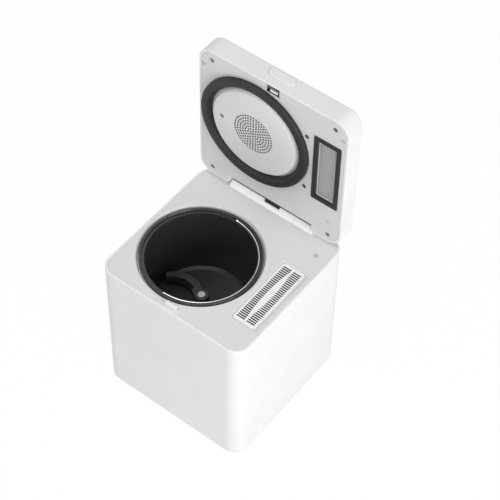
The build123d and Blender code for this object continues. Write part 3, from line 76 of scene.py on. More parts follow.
def seen_rays(nodes, links):
    """1 for rays of the camera and of what mirrors or lets light through, 0 for the rest."""
    rays = nodes.new("ShaderNodeLightPath")
    mirrored = nodes.new("ShaderNodeMath")
    mirrored.operation = "MAXIMUM"
    links.new(rays.outputs["Is Glossy Ray"], mirrored.inputs[0])
    links.new(rays.outputs["Is Transmission Ray"], mirrored.inputs[1])
    seen = nodes.new("ShaderNodeMath")
    seen.operation = "MAXIMUM"
    links.new(rays.outputs["Is Camera Ray"], seen.inputs[0])
    links.new(mirrored.outputs[0], seen.inputs[1])
    return seen.outputs[0]


room = bpy.data.worlds.new("white_room")
room.use_nodes = True
bpy.context.scene.world = room
room_nodes, room_links = room.node_tree.nodes, room.node_tree.links
room_nodes.clear()
room_light = room_nodes.new("ShaderNodeBackground")
room_light.inputs["Color"].default_value = (1.0, 1.0, 1.0, 1.0)
room_light.inputs["Strength"].default_value = 0.38
room_seen = room_nodes.new("ShaderNodeBackground")
room_seen.inputs["Color"].default_value = (1.0, 1.0, 1.0, 1.0)
room_seen.inputs["Strength"].default_value = 1.0
room_mix = room_nodes.new("ShaderNodeMixShader")
room_out = room_nodes.new("ShaderNodeOutputWorld")
room_links.new(seen_rays(room_nodes, room_links), room_mix.inputs["Fac"])
room_links.new(room_light.outputs["Background"], room_mix.inputs[1])
room_links.new(room_seen.outputs["Background"], room_mix.inputs[2])
room_links.new(room_mix.outputs["Shader"], room_out.inputs["Surface"])


def soft_box(name, aim, spot, width, power):
    """A square studio lamp at a spot, turned to face the point it is aimed at."""
    lamp = bpy.data.lights.new(name, "AREA")
    lamp.shape = "SQUARE"
    lamp.size = width
    lamp.energy = power
    stand = bpy.data.objects.new(name, lamp)
    direction = Vector(aim) - Vector(spot)
    stand.matrix_world = (
        Matrix.Translation(spot) @ direction.to_track_quat("-Z", "Y").to_matrix().to_4x4()
    )
    bpy.context.scene.collection.objects.link(stand)
    return stand


middle = (0.0, 0.0, 0.25)
soft_box("side_box", middle, spot=(1.9, -0.55, 0.95), width=1.1, power=24.5)
soft_box("top_box", middle, spot=(-0.35, -0.5, 2.2), width=1.4, power=14.0)
soft_box("front_box", middle, spot=(0.1, -2.1, 1.1), width=1.4, power=5.6)

floor_size = 6.0
floor_squares = 8
white_share = 0.985  # the rest shows the paper itself, with its shadow
floor_mesh = bpy.data.meshes.new("sweep")
shape = bmesh.new()
bmesh.ops.create_grid(shape, x_segments=floor_squares, y_segments=floor_squares, size=floor_size)
shape.to_mesh(floor_mesh)
shape.free()
sweep = bpy.data.objects.new("sweep", floor_mesh)
bpy.context.scene.collection.objects.link(sweep)
paper = bpy.data.materials.new("white_paper")
paper.use_nodes = True
paper_nodes, paper_links = paper.node_tree.nodes, paper.node_tree.links
paper_body = paper_nodes["Principled BSDF"]
paper_body.inputs["Base Color"].default_value = (0.86, 0.86, 0.86, 1.0)
paper_body.inputs["Roughness"].default_value = 0.9
paper_glow = paper_nodes.new("ShaderNodeEmission")
paper_glow.inputs["Color"].default_value = (1.0, 1.0, 1.0, 1.0)
paper_mix = paper_nodes.new("ShaderNodeMixShader")
paper_share = paper_nodes.new("ShaderNodeMath")
paper_share.operation = "MULTIPLY"
paper_share.inputs[1].default_value = white_share
paper_links.new(seen_rays(paper_nodes, paper_links), paper_share.inputs[0])
paper_links.new(paper_share.outputs[0], paper_mix.inputs["Fac"])
paper_links.new(paper_body.outputs["BSDF"], paper_mix.inputs[1])
paper_links.new(paper_glow.outputs["Emission"], paper_mix.inputs[2])
paper_links.new(paper_mix.outputs["Shader"], paper_nodes["Material Output"].inputs["Surface"])
floor_mesh.materials.append(paper)

# ---------------------------------------------------------------- Outer shell and base tray
# The body is an injection-moulded ABS shell over a shallow tray, screwed together from
# below. Both have a fine satin texture, and their cut edges are softly broken.
shell_white = (0.845, 0.845, 0.852)
satin = 0.42
spark_grain = 0.0007
spark_depth = 0.00003
broken_edge = 0.0005
polish_swing = 0.04


def moulded(name, colour, roughness, grain, depth, drift=0.02, edge=broken_edge, gloss=0.5):
    """Moulded plastic: an even colour that drifts a little, over a fine eroded grain."""
    finish = bpy.data.materials.new(name)
    finish.use_nodes = True
    nodes, links = finish.node_tree.nodes, finish.node_tree.links
    body = nodes["Principled BSDF"]
    body.inputs["Specular IOR Level"].default_value = gloss
    place = nodes.new("ShaderNodeTexCoord")
    cloud = nodes.new("ShaderNodeTexNoise")
    cloud.inputs["Scale"].default_value = 14.0
    cloud.inputs["Detail"].default_value = 3.0
    links.new(place.outputs["Object"], cloud.inputs["Vector"])
    shades = nodes.new("ShaderNodeValToRGB")
    shades.color_ramp.elements[0].position = 0.3
    shades.color_ramp.elements[1].position = 0.7
    shades.color_ramp.elements[0].color = tuple(c * (1 - drift) for c in colour) + (1.0,)
    shades.color_ramp.elements[1].color = tuple(min(1.0, c * (1 + drift)) for c in colour) + (1.0,)
    links.new(cloud.outputs["Fac"], shades.inputs["Fac"])
    links.new(shades.outputs["Color"], body.inputs["Base Color"])
    polish = nodes.new("ShaderNodeMapRange")
    polish.inputs["To Min"].default_value = roughness - polish_swing
    polish.inputs["To Max"].default_value = roughness + polish_swing
    links.new(cloud.outputs["Fac"], polish.inputs["Value"])
    links.new(polish.outputs["Result"], body.inputs["Roughness"])
    grit = nodes.new("ShaderNodeTexNoise")
    grit.inputs["Scale"].default_value = 1.0 / grain
    grit.inputs["Detail"].default_value = 2.0
    links.new(place.outputs["Object"], grit.inputs["Vector"])
    relief = nodes.new("ShaderNodeBump")
    relief.inputs["Distance"].default_value = depth
    relief.inputs["Strength"].default_value = 0.6
    links.new(grit.outputs["Fac"], relief.inputs["Height"])
    if edge:
        corner = nodes.new("ShaderNodeBevel")
        corner.samples = 4
        corner.inputs["Radius"].default_value = edge
        links.new(corner.outputs["Normal"], relief.inputs["Normal"])
    links.new(relief.outputs["Normal"], body.inputs["Normal"])
    return finish


def finish_node(name, finish):
    """Give a piece that keeps its CAD shape its finish."""
    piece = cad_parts[name]
    piece.data.materials.clear()
    piece.data.materials.append(finish)
    return piece


white_shell = moulded(
    "white_shell", shell_white, roughness=satin, grain=spark_grain, depth=spark_depth
)
finish_node("outer_shell", white_shell)
finish_node("base_tray", white_shell)

# ---------------------------------------------------------------- Feet and base screws
# Four round rubber feet, pegged into the tray, and four steel hexagon-socket screws
# driven up through the tray's bosses.
rubber_black = (0.06, 0.06, 0.062)
foot_rubber = moulded(
    "foot_rubber", rubber_black, roughness=0.78, grain=0.0012, depth=0.00008, drift=0.15, gloss=0.3
)
finish_node("feet", foot_rubber)


line_shade, line_shine = 0.86, 1.08
metal_swing = 0.07
smoothest = 0.05


def bare_metal(name, colour, roughness, run, depth=0.00002):
    """Bare metal with fine lines along one way: run gives the stretch along X, Y and Z."""
    finish = bpy.data.materials.new(name)
    finish.use_nodes = True
    nodes, links = finish.node_tree.nodes, finish.node_tree.links
    body = nodes["Principled BSDF"]
    body.inputs["Metallic"].default_value = 1.0
    place = nodes.new("ShaderNodeTexCoord")
    stretch = nodes.new("ShaderNodeMapping")
    stretch.inputs["Scale"].default_value = run
    links.new(place.outputs["Object"], stretch.inputs["Vector"])
    lines = nodes.new("ShaderNodeTexNoise")
    lines.inputs["Scale"].default_value = 600.0
    lines.inputs["Detail"].default_value = 4.0
    links.new(stretch.outputs["Vector"], lines.inputs["Vector"])
    shades = nodes.new("ShaderNodeValToRGB")
    shades.color_ramp.elements[0].color = tuple(c * line_shade for c in colour) + (1.0,)
    shades.color_ramp.elements[1].color = tuple(min(1.0, c * line_shine) for c in colour) + (1.0,)
    links.new(lines.outputs["Fac"], shades.inputs["Fac"])
    links.new(shades.outputs["Color"], body.inputs["Base Color"])
    polish = nodes.new("ShaderNodeMapRange")
    polish.inputs["To Min"].default_value = max(smoothest, roughness - metal_swing)
    polish.inputs["To Max"].default_value = roughness + metal_swing
    links.new(lines.outputs["Fac"], polish.inputs["Value"])
    links.new(polish.outputs["Result"], body.inputs["Roughness"])
    relief = nodes.new("ShaderNodeBump")
    relief.inputs["Distance"].default_value = depth
    relief.inputs["Strength"].default_value = 0.5
    links.new(lines.outputs["Fac"], relief.inputs["Height"])
    links.new(relief.outputs["Normal"], body.inputs["Normal"])
    return finish


turned_steel = bare_metal("turned_steel", (0.58, 0.58, 0.59), roughness=0.32, run=(1.0, 1.0, 0.12))
finish_node("base_screws", turned_steel)

# ---------------------------------------------------------------- Deck
# A light grey moulded panel let into the top of the shell, with a sloped lip that leads
# the bucket in. The white striker of the latch and the lid switch's plunger come up
# through it.
deck_grey = (0.755, 0.755, 0.77)
deck_finish = moulded(
    "deck_grey", deck_grey, roughness=0.36, grain=0.0006, depth=0.000025, drift=0.015
)
finish_node("deck_panel", deck_finish)
white_trim = moulded("white_trim", (0.87, 0.87, 0.87), roughness=0.34, grain=0.0006, depth=0.00002)
finish_node("latch_striker", white_trim)
switch_grey = moulded(
    "switch_grey", (0.52, 0.52, 0.53), roughness=0.45, grain=0.0005, depth=0.00003
)
finish_node("lid_switch", switch_grey)

# ---------------------------------------------------------------- Hinge
# Three white mouldings fill the notch in the lid: a saddle in the middle and a barrel on
# each side, sloped in front and closed behind. Steel pins run from the barrels into the
# lid's ears. The lid's wires leave the saddle's slot in a ribbed black silicone boot.
housing_low, housing_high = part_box("hinge_barrels")
saddle_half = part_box("hinge_saddle")[1].x
pins_low, pins_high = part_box("hinge_pins")
axis_y, axis_z = (pins_low.y + pins_high.y) / 2, (pins_low.z + pins_high.z) / 2
barrel_radius = 0.0035
arc_steps = 5
slope = math.radians(43.0)
foot_height = 0.0008
rear_wall = 0.0030
wall_bevel = 0.0008
edge_round = 0.0005
seam = 0.00045
slot_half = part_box("wire_sleeve")[1].x + 0.0003
slot_sill = 0.0052
sill_thickness = 0.0015
slot_floor = (0.0018, 0.0005)  # behind the sill's front, over the deck
hair = 0.0001


def skin(shape, rings):
    """Walls from each ring of points to the next."""
    for near, far in zip(rings, rings[1:]):
        for step in range(len(near)):
            after = (step + 1) % len(near)
            shape.faces.new((near[step], near[after], far[after], far[step]))


def piece_from(name, shape, finish, smooth=35.0):
    """Turn a finished mesh into a piece, smooth but for its sharp corners."""
    bmesh.ops.recalc_face_normals(shape, faces=shape.faces)
    mesh = bpy.data.meshes.new(name)
    shape.to_mesh(mesh)
    shape.free()
    mesh.polygons.foreach_set("use_smooth", [True] * len(mesh.polygons))
    mesh.set_sharp_from_angle(angle=math.radians(smooth))
    mesh.materials.append(finish)
    piece = bpy.data.objects.new(name, mesh)
    bpy.context.scene.collection.objects.link(piece)
    return piece


def extruded(shape, spots, sections):
    """A bar along X: one closed section of (y, z) points at each spot, capped at both ends."""
    rings = [
        [shape.verts.new((spot, y, z)) for y, z in section]
        for spot, section in zip(spots, sections)
    ]
    skin(shape, rings)
    shape.faces.new(rings[0])
    shape.faces.new(rings[-1][::-1])


def rounded_piece(shape, name, finish, rounding):
    """Merge doubled points, make the piece and round its edges."""
    bmesh.ops.remove_doubles(shape, verts=shape.verts, dist=0.000001)
    bmesh.ops.dissolve_degenerate(shape, edges=shape.edges, dist=0.000001)
    piece = piece_from(name, shape, finish)
    soften = piece.modifiers.new("rounded_edges", "BEVEL")
    soften.width = rounding
    soften.segments = 2
    soften.limit_method = "ANGLE"
    return piece


def tint(piece, finish, belongs):
    """Give the facets that belong to one place on a piece another finish."""
    piece.data.materials.append(finish)
    added = len(piece.data.materials) - 1
    for facet in piece.data.polygons:
        if belongs(facet):
            facet.material_index = added


barrel_front = axis_y - barrel_radius
barrel_arc = []
for step in range(arc_steps + 1):
    turn = math.pi - math.pi / 2 * step / arc_steps
    barrel_arc.append(
        (axis_y + barrel_radius * math.cos(turn), axis_z + barrel_radius * math.sin(turn))
    )
wall_y = housing_high.y - rear_wall
foot = [(housing_low.y, housing_low.z), (housing_low.y, housing_low.z + foot_height)]
ramp_rise = (barrel_front - housing_low.y) * math.tan(slope)
full_section = (
    foot + [(barrel_front, foot[1][1] + ramp_rise)] + barrel_arc
    + [
        (wall_y, housing_high.z - wall_bevel), (wall_y + wall_bevel, housing_high.z),
        (housing_high.y, housing_high.z), (housing_high.y, housing_low.z),
    ]
)
sill_y = housing_low.y + (slot_sill - foot_height) / math.tan(slope)
sill_z = housing_low.z + slot_sill
floor_y, floor_z = sill_y + slot_floor[0], housing_low.z + slot_floor[1]
floor_steps = arc_steps + 2
slot_section = (
    foot + [(sill_y, sill_z), (sill_y + sill_thickness, sill_z)]
    + [
        (floor_y + (housing_high.y - floor_y) * step / floor_steps, floor_z)
        for step in range(floor_steps + 1)
    ]
    + [(housing_high.y, housing_low.z)]
)
# black of the wire boot, also painted into the saddle's slot as shade
boot_black_and_slot_shade = moulded(
    "boot_black_and_slot_shade", (0.022, 0.022, 0.023), roughness=0.6, grain=0.0009, depth=0.00006, drift=0.2
)
hinge_white = moulded(
    "hinge_white", (0.95, 0.95, 0.95), roughness=0.28, grain=0.0006, depth=0.00002, drift=0.01
)
shape = bmesh.new()
extruded(
    shape, (-saddle_half, -slot_half, -slot_half, slot_half, slot_half, saddle_half),
    (full_section, full_section, slot_section, slot_section, full_section, full_section),
)
sloped_saddle = rounded_piece(shape, "sloped_saddle", hinge_white, edge_round)
# painted shade: the slot behind the sill is painted black for the shade under the boot
behind_sill = sill_y + sill_thickness * 2 / 3
tint(
    sloped_saddle, boot_black_and_slot_shade,
    lambda facet: abs(facet.center.x) < slot_half + hair and facet.center.y > behind_sill,
)
shape = bmesh.new()
for start, end in ((housing_low.x, -saddle_half - seam), (saddle_half + seam, housing_high.x)):
    extruded(shape, (start, end), (full_section, full_section))
sloped_barrels = rounded_piece(shape, "sloped_barrels", hinge_white, edge_round)
# painted shade: a dark grey strip on the upright step where the ramp meets the barrels, for the
# shade under the lid's notch
step_shade_grey = moulded(
    "step_shade_grey", (0.16, 0.16, 0.162), roughness=0.9,
    grain=0.0008, depth=0.00012, drift=0.2, gloss=0.2,
)
upright = 0.9
for piece in (sloped_saddle, sloped_barrels):
    tint(
        piece, step_shade_grey,
        lambda facet: abs(facet.center.y - barrel_front) < 3 * hair and facet.normal.y < -upright,
    )
finish_node("hinge_pins", turned_steel)

boot_low, boot_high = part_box("wire_sleeve")
boot_lip = 0.0022
boot_neck = (0.0048, 0.0012)  # before the hinge's axis, over it
boot_shoulder = (0.0030, 0.0036)
boot_crown = 0.0010
boot_section = [
    (sill_y + boot_lip, boot_low.z), (axis_y - boot_neck[0], boot_low.z + boot_lip),
    (axis_y - boot_neck[0], axis_z + boot_neck[1]),
    (axis_y - boot_shoulder[0], axis_z + boot_shoulder[1]),
    (wall_y + boot_crown, boot_high.z), (boot_high.y, boot_high.z), (boot_high.y, boot_low.z),
]
groove_share = 0.93
groove_section = [
    (boot_high.y + (y - boot_high.y) * groove_share, boot_low.z + (z - boot_low.z) * groove_share)
    for y, z in boot_section
]
boot_ribs = 9
rib_stops = (0.0, 0.3, 0.5, 0.8)  # groove from, groove to, rib from, rib to
rib_spots, rib_sections = [], []
for rib in range(boot_ribs):
    pitch = (boot_high.x - boot_low.x) / boot_ribs
    start = boot_low.x + rib * pitch
    rib_spots += [start + stop * pitch for stop in rib_stops]
    rib_sections += [groove_section, groove_section, boot_section, boot_section]
rib_spots.append(boot_high.x)
rib_sections.append(groove_section)
shape = bmesh.new()
extruded(shape, rib_spots, rib_sections)
wire_boot = rounded_piece(shape, "wire_boot", boot_black_and_slot_shade, hair)
for piece, node, slot_name in (
    (sloped_saddle, "hinge_saddle", "white_trim"),
    (sloped_barrels, "hinge_barrels", "white_trim"),
    (wire_boot, "wire_sleeve", "black_silicone"),
):
    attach(piece, "base")
    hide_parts(node)

# ---------------------------------------------------------------- Bucket and bail
# The bucket is spun from aluminium, with a stepped rim, and coated inside and out with
# glossy black non-stick. Its bail is bright stainless wire that lies in the rim's step.
coat_black = (0.028, 0.028, 0.030)
non_stick = moulded(
    "non_stick", coat_black, roughness=0.26, grain=0.0010, depth=0.00002, drift=0.12, gloss=0.6
)
finish_node("bucket", non_stick)
bush_black = moulded(
    "bush_black", (0.10, 0.10, 0.10), roughness=0.5, grain=0.0008, depth=0.00003, drift=0.1
)
finish_node("bucket_bush", bush_black)
bright_wire = bare_metal(
    "bright_wire", (0.80, 0.80, 0.81), roughness=0.18, run=(1.0, 1.0, 1.0), depth=0.00001
)
finish_node("bail_handle", bright_wire)

# ---------------------------------------------------------------- Stirring blade
# A two-armed casting with a duller black coating turns on a steel shaft through the
# bucket's hub. The shaft takes the drive from a three-lobed dog underneath.
cast_coat = moulded(
    "cast_coat", (0.05, 0.05, 0.052), roughness=0.38, grain=0.0022, depth=0.00010, drift=0.2
)
finish_node("stirring_blade", cast_coat)
finish_node("stirrer_shaft", turned_steel)

# ---------------------------------------------------------------- Well and heater
# The bucket hangs in a deep-drawn aluminium well. A red-brown silicone heating band is
# strapped round its lower half.
drawn_sheet = bare_metal("drawn_sheet", (0.72, 0.72, 0.73), roughness=0.34, run=(1.0, 1.0, 0.08))
finish_node("bucket_well", drawn_sheet)
heater_mat = moulded(
    "heater_mat", (0.38, 0.13, 0.07), roughness=0.7,
    grain=0.0016, depth=0.00012, drift=0.12, gloss=0.3,
)
finish_node("heater_band", heater_mat)

# ---------------------------------------------------------------- Filter cartridge
# A white moulded box with two rows of slits and a finger grip between them on top, over
# a block of pelletised carbon. It stands in its own bay under the deck.
cartridge = finish_node("filter_cartridge", hinge_white)
# black of the carbon, also painted into the cartridge's slits and the vent plate's holes as shade
carbon_black_and_hollow_shade = moulded(
    "carbon_black_and_hollow_shade", (0.035, 0.035, 0.037), roughness=0.85,
    grain=0.0030, depth=0.0009, drift=0.4, edge=0,
)
finish_node("carbon_block", carbon_black_and_hollow_shade)
# painted shade: the walls of the slits, and all that lies under them, are painted black for the
# shade inside the box
cartridge_low, cartridge_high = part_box("filter_cartridge")
grip_height = 0.0022  # over the slits
blackened = cartridge_high.z - grip_height - 3 * hair
rim = 0.0035
tint(
    cartridge, carbon_black_and_hollow_shade,
    lambda facet: facet.center.z < blackened
    and cartridge_low.x + rim < facet.center.x < cartridge_high.x - rim
    and cartridge_low.y + rim < facet.center.y < cartridge_high.y - rim,
)
bay_grey = moulded("bay_grey", (0.45, 0.45, 0.46), roughness=0.5, grain=0.0008, depth=0.00004)
finish_node("filter_bay", bay_grey)

# ---------------------------------------------------------------- Fan and exhaust
# Under the back of the bay a small radial fan draws the air down through the filter and
# blows it through a short duct to the grille in the rear wall.
dark_moulding = moulded(
    "dark_moulding", (0.07, 0.07, 0.072), roughness=0.5, grain=0.0008, depth=0.00004, drift=0.1
)
finish_node("fan_housing", dark_moulding)
finish_node("fan_impeller", dark_moulding)
motor_can = bare_metal("motor_can", (0.50, 0.50, 0.50), roughness=0.36, run=(1.0, 1.0, 0.15))
finish_node("fan_motor", motor_can)
finish_node("exhaust_duct", bay_grey)
finish_node("rear_grille", white_trim)

# ---------------------------------------------------------------- Mains inlet and board
# A black moulded inlet with brass pins is pressed into the rear wall, low on one side. The
# green control board stands beside it on the shell's standoffs, and a smaller board
# lies in the lid.
finish_node("inlet_socket", dark_moulding)
brass = bare_metal("brass", (0.72, 0.56, 0.30), roughness=0.3, run=(1.0, 0.1, 1.0))
finish_node("inlet_pins", brass)
solder_mask = moulded(
    "solder_mask", (0.03, 0.22, 0.10), roughness=0.35, grain=0.0012, depth=0.00005, drift=0.2
)
finish_node("control_board", solder_mask)
finish_node("touch_board", solder_mask)

# ---------------------------------------------------------------- Gearbox and motor
# A die-cast box under the well holds a two-stage train of acetal gears, driven by a steel
# pinion on the motor that hangs under one end. The output shaft runs in bronze bushes,
# and the idler on a fixed steel axle.
casting = bare_metal(
    "casting", (0.52, 0.52, 0.53), roughness=0.5, run=(1.0, 1.0, 1.0), depth=0.00008
)
finish_node("gearbox_housing", casting)
finish_node("gearbox_cover", casting)
acetal = moulded("acetal", (0.80, 0.78, 0.71), roughness=0.4, grain=0.0009, depth=0.00003)
for gear in ("output_gear", "idler_gear"):
    finish_node(gear, acetal)
for shaft in ("output_shaft", "idler_axle", "motor_pinion"):
    finish_node(shaft, turned_steel)
bronze = bare_metal("bronze", (0.60, 0.43, 0.22), roughness=0.4, run=(1.0, 1.0, 0.3))
finish_node("shaft_bushes", bronze)
finish_node("drive_motor", motor_can)
seal_black = moulded(
    "seal_black", (0.022, 0.022, 0.023), roughness=0.6,
    grain=0.0010, depth=0.00005, drift=0.2, gloss=0.4,
)
finish_node("shaft_seal", seal_black)

# ---------------------------------------------------------------- Lid shell and liner
# The lid is a deep white moulding like the body. Its liner is a light grey panel let
# into the open side and held by six screws, with the air duct behind it and the capped
# magnet of the lid switch let into it.
finish_node("lid_shell", white_shell)
liner_finish = moulded(
    "liner_grey", (0.71, 0.71, 0.725), roughness=0.34, grain=0.0006, depth=0.000025, drift=0.02
)
finish_node("lid_liner", liner_finish)
finish_node("lid_duct", dark_moulding)
magnet_cap = moulded("magnet_cap", (0.62, 0.62, 0.63), roughness=0.4, grain=0.0006, depth=0.00002)
finish_node("switch_magnet", magnet_cap)

# ---------------------------------------------------------------- Ring seal
# A wide ring of soft black silicone, pressed into a groove of the liner. It stands well out, to
# meet the rim of the bucket when the lid is shut.
ring_low, ring_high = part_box("round_seal")
ring_centre = ((ring_low.x + ring_high.x) / 2, (ring_low.z + ring_high.z) / 2)
liner_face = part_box("lid_liner")[0].y
seal_sides = 144
seal_free_height = 0.0078
seal_profile = (
    (0.0843, 0.0), (0.0843, 0.0022), (0.0848, 0.0031), (0.0874, 0.0035), (0.0881, 0.0041),
    (0.0884, 0.0066), (0.0889, 0.0073), (0.0899, seal_free_height),
    (0.1006, seal_free_height), (0.1016, 0.0073),
    (0.1021, 0.0063), (0.1023, 0.0042), (0.1023, 0.0),
)  # radius from the ring's axis, height over the liner


def ring(shape, centre, radius, height, sides):
    """A ring of points round an axis square to the liner, at a height over its face."""
    turns = (math.tau * step / sides for step in range(sides))
    return [
        shape.verts.new(
            (
                centre[0] + radius * math.cos(turn),
                liner_face - height,
                centre[1] + radius * math.sin(turn),
            )
        )
        for turn in turns
    ]


silicone_black = moulded(
    "silicone_black", (0.022, 0.022, 0.023), roughness=0.55,
    grain=0.0010, depth=0.00004, drift=0.12, gloss=0.35,
)
shape = bmesh.new()
seal_rings = [
    ring(shape, ring_centre, radius, height, seal_sides) for radius, height in seal_profile
]
skin(shape, seal_rings + seal_rings[:1])
ring_seal = piece_from("ring_seal", shape, silicone_black)
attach(ring_seal, "lid")
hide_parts("round_seal")
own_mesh(ring_seal)

# ---------------------------------------------------------------- Outlet seal
# A narrow rectangle of the same silicone closes on the deck round the top of the filter.
# Its collar lines the outlet and holds the mesh down.
finish_node("flat_seal", silicone_black)

# ---------------------------------------------------------------- Vent plate
# A shallow grey dish, turned upside down on the liner inside the ring seal and held by
# one screw. The damp air is drawn into the lid through the rose of fine holes.
plate_low, plate_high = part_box("vent_plate")
plate_radius = (plate_high.x - plate_low.x) / 2
plate_height = plate_high.y - plate_low.y
plate_gauge = 0.0010
plate_wall = 0.0030
plate_top_radius = 0.0780
plate_shoulder = ((0.0005, 0.0006), (0.0001, 0.0002), (-0.0006, 0.0))  # outwards, down
plate_sides = 144
hole_rings = 7
holes_per_ring = 6
hole_pitch = 0.00502
hole_radius = 0.00175
hole_sides = 10
plate_screw = (ring_centre[0] - 0.0612, ring_centre[1] + 0.0005)
recess_radius = 0.0044
recess_depth = 0.0009
recess_sides = 24
screw_shank = 0.0014

shape = bmesh.new()
plate_side = [(plate_radius, 0.0)]
for outwards, down in plate_shoulder:
    plate_side.append((plate_top_radius + outwards, plate_height - down))
plate_inside = (
    (plate_radius - plate_wall, 0.0), (plate_top_radius - plate_wall, plate_height - plate_gauge)
)
outer_rings, inner_rings = (
    [ring(shape, ring_centre, radius, height, plate_sides) for radius, height in side]
    for side in (plate_side, plate_inside)
)
skin(shape, outer_rings)
skin(shape, [outer_rings[0]] + inner_rings)
front_loops, back_loops = [outer_rings[-1]], [inner_rings[-1]]
hole_spots = [ring_centre]
for number in range(1, hole_rings + 1):
    for step in range(holes_per_ring * number):
        turn = math.pi / 2 + math.tau * step / (holes_per_ring * number)
        hole_spots.append(
            (
                ring_centre[0] + number * hole_pitch * math.cos(turn),
                ring_centre[1] + number * hole_pitch * math.sin(turn),
            )
        )
for spot in hole_spots:
    mouth = ring(shape, spot, hole_radius, plate_height, hole_sides)
    throat = ring(shape, spot, hole_radius, plate_height - plate_gauge, hole_sides)
    skin(shape, [mouth, throat])
    front_loops.append(mouth)
    back_loops.append(throat)
recess_steps = (
    (recess_radius, plate_height), (recess_radius, plate_height - recess_depth),
    (screw_shank, plate_height - recess_depth), (screw_shank, plate_height - plate_gauge),
)
recess = [
    ring(shape, plate_screw, radius, height, recess_sides) for radius, height in recess_steps
]
skin(shape, recess)
front_loops.append(recess[0])
back_loops.append(recess[-1])
for loops in (front_loops, back_loops):
    rims = [
        shape.edges.get((loop[step - 1], loop[step])) for loop in loops for step in range(len(loop))
    ]
    bmesh.ops.triangle_fill(shape, use_beauty=True, edges=rims, normal=(0.0, -1.0, 0.0))
plate_finish = moulded(
    "plate_grey", (0.74, 0.74, 0.755), roughness=0.34,
    grain=0.0006, depth=0.000025, drift=0.015, edge=0.0003,
)
vent_plate = piece_from("vent_plate_rose", shape, plate_finish)
# painted shade: the walls of the holes, and the back round them, are painted black for the shade
# behind the plate
sunk = liner_face - plate_height + hair
rose_radius = hole_pitch * (hole_rings + 1)
tint(
    vent_plate, carbon_black_and_hollow_shade,
    lambda facet: facet.center.y > sunk
    and math.hypot(facet.center.x - ring_centre[0], facet.center.z - ring_centre[1]) < rose_radius,
)
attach(vent_plate, "lid")
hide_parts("vent_plate")

# ---------------------------------------------------------------- Outlet mesh
# Woven stainless wire in a thin pressed frame, painted light grey, across the mouth of
# the duct where the air goes down into the filter.
mesh_low, mesh_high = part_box("outlet_mesh")
mesh_middle = (mesh_low + mesh_high) / 2
mesh_span = (mesh_high.x - mesh_low.x, mesh_high.z - mesh_low.z)
wire_pitch = 0.0026
wire_radius = 0.00042
frame_width = 0.0024
frame_gauge = mesh_high.y - mesh_low.y
weave_depth = frame_gauge / 2 - wire_radius


def woven_wire(shape, along, across, start, length, steps, phase):
    """One wire of the weave: a four-sided tube that goes over one and under the next."""
    rings = []
    for step in range(steps + 1):
        wave = weave_depth * math.cos(math.pi * (step + phase))
        middle = start + along * (length * step / steps) + Vector((0.0, wave, 0.0))
        out = Vector((0.0, wire_radius, 0.0))
        side = across * wire_radius
        rings.append([shape.verts.new(middle + offset) for offset in (out, side, -out, -side)])
    skin(shape, rings)


shape = bmesh.new()
columns = int(mesh_span[0] / wire_pitch)
rows = int(mesh_span[1] / wire_pitch)
x_axis, z_axis = Vector((1.0, 0.0, 0.0)), Vector((0.0, 0.0, 1.0))
corner = mesh_middle - x_axis * (columns * wire_pitch / 2) - z_axis * (rows * wire_pitch / 2)
for column in range(1, columns):
    foot_of_wire = corner + x_axis * column * wire_pitch
    woven_wire(shape, z_axis, x_axis, foot_of_wire, rows * wire_pitch, rows, column)
for row in range(1, rows):
    end_of_wire = corner + z_axis * row * wire_pitch
    woven_wire(shape, x_axis, z_axis, end_of_wire, columns * wire_pitch, columns, row + 1)
mesh_wire = bare_metal("mesh_wire", (0.55, 0.55, 0.56), roughness=0.45, run=(1.0, 1.0, 1.0))
woven_mesh = piece_from("woven_mesh", shape, mesh_wire, smooth=80.0)
shape = bmesh.new()
frame_section = ((0.0, 0.0), (0.0, frame_gauge), (frame_width, frame_gauge), (frame_width, 0.0))
frame_rings = []
for inset, height in frame_section:
    half_x, half_z = mesh_span[0] / 2 - inset, mesh_span[1] / 2 - inset
    corners = ((-half_x, -half_z), (half_x, -half_z), (half_x, half_z), (-half_x, half_z))
    frame_rings.append(
        [
            shape.verts.new((mesh_middle.x + x, mesh_high.y - height, mesh_middle.z + z))
            for x, z in corners
        ]
    )
skin(shape, frame_rings + frame_rings[:1])
pressed_frame = moulded(
    "pressed_frame", (0.84, 0.84, 0.85), roughness=0.4, grain=0.0006, depth=0.00002
)
mesh_frame = piece_from("mesh_frame", shape, pressed_frame)
for piece in (woven_mesh, mesh_frame):
    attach(piece, "lid")
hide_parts("outlet_mesh")

# ---------------------------------------------------------------- Lid screws and bumpers
# Dark-plated screws with plain flat heads are sunk in their recesses, six in the liner
# and one in the vent plate. Two grey rubber dots keep the shut lid off the shell's rim.
screw_plating = bare_metal(
    "screw_plating", (0.24, 0.24, 0.245), roughness=0.42, run=(1.0, 1.0, 1.0)
)
finish_node("lid_screws", screw_plating)
bumper_grey = moulded("bumper_grey", (0.52, 0.52, 0.53), roughness=0.7, grain=0.0008, depth=0.00005)
finish_node("lid_bumpers", bumper_grey)
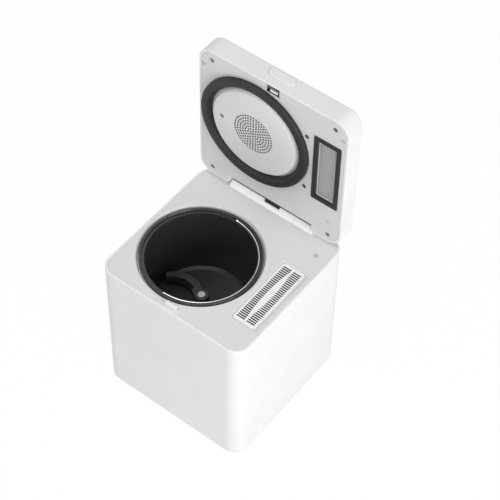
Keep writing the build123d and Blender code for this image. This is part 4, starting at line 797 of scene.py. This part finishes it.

# ---------------------------------------------------------------- Release button and catch
# A white pill-shaped key in the front edge of the lid stands on two coiled springs.
# Pressed, it slides the catch, with a white lip across its nose, off the striker's hook. The catch
# shows in the slot in the liner, before the pocket that guides it; both are painted grey for the
# shade in the slot, and the lip is white where the light falls.
finish_node("release_button", white_trim)
spring_low, spring_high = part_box("button_springs")
spring_height = spring_high.z - spring_low.z
spring_y = (spring_low.y + spring_high.y) / 2
spring_wire = 0.0005  # half its thickness
coil_radius = (spring_high.y - spring_low.y) / 2 - spring_wire
coil_turns, coil_steps, wire_sides = 5, 20, 8
shape = bmesh.new()
for side in (-1, 1):
    spring_x = side * (spring_high.x - coil_radius - spring_wire)
    rings = []
    for step in range(coil_turns * coil_steps + 1):
        turn = math.tau * step / coil_steps
        rise = (spring_height - 2 * spring_wire) * step / (coil_turns * coil_steps)
        wire_ring = []
        for point in range(wire_sides):
            around = math.tau * point / wire_sides
            reach = coil_radius + spring_wire * math.cos(around)
            wire_ring.append(
                shape.verts.new(
                    (
                        spring_x + reach * math.cos(turn),
                        spring_y + reach * math.sin(turn),
                        spring_low.z + spring_wire + rise + spring_wire * math.sin(around),
                    )
                )
            )
        rings.append(wire_ring)
    skin(shape, rings)
    shape.faces.new(rings[0])
    shape.faces.new(rings[-1][::-1])
coiled_springs = piece_from("coiled_springs", shape, bright_wire, smooth=60.0)
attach(coiled_springs, "lid")
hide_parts("button_springs")
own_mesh(coiled_springs)

catch_low, catch_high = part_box("latch_catch")
catch_depth, catch_height = catch_high.y - catch_low.y, catch_high.z - catch_low.z
riser = catch_depth - 0.0050
lip_low, lip_top = 0.0097, 0.0122
nose_back = 0.0022
catch_outline = (
    (0.0026, 0.0), (0.0026, 0.0074), (0.0020, 0.0087), (0.0003, lip_low), (0.0, 0.0101),
    (0.0, 0.0113), (0.0005, 0.0119), (0.0014, lip_top), (0.0016, 0.0144), (0.0018, 0.0150),
    (nose_back, 0.0150), (nose_back, 0.0125), (0.0048, 0.0125), (0.0048, 0.0040),
    (riser, 0.0040), (riser, catch_height), (catch_depth, catch_height), (catch_depth, 0.0),
)  # depth behind the lip's front, height over the foot
catch_section = [(catch_low.y + depth, catch_low.z + height) for depth, height in catch_outline]
shape = bmesh.new()
extruded(shape, (catch_low.x, catch_high.x), (catch_section, catch_section))
# painted shade: the catch is painted grey for the shade in the slot
catch_shade_grey = moulded("catch_shade_grey", (0.36, 0.36, 0.365), roughness=0.45, grain=0.0006, depth=0.00002)
lipped_catch = rounded_piece(shape, "lipped_catch", catch_shade_grey, 2 * hair)
# painted light: only the lip, where the light falls, is given the white
tint(
    lipped_catch, hinge_white,
    lambda facet: facet.center.y - catch_low.y < nose_back
    and lip_low - 2 * hair < facet.center.z - catch_low.z < lip_top + 2 * hair,
)
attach(lipped_catch, "catch")
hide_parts("latch_catch")
# painted shade: the pocket that guides the catch is painted darker than the liner, for the shade
# deep in the slot
guide_shade_grey = moulded("guide_shade_grey", (0.42, 0.42, 0.425), roughness=0.5, grain=0.0008, depth=0.00004)
finish_node("catch_guide", guide_shade_grey)
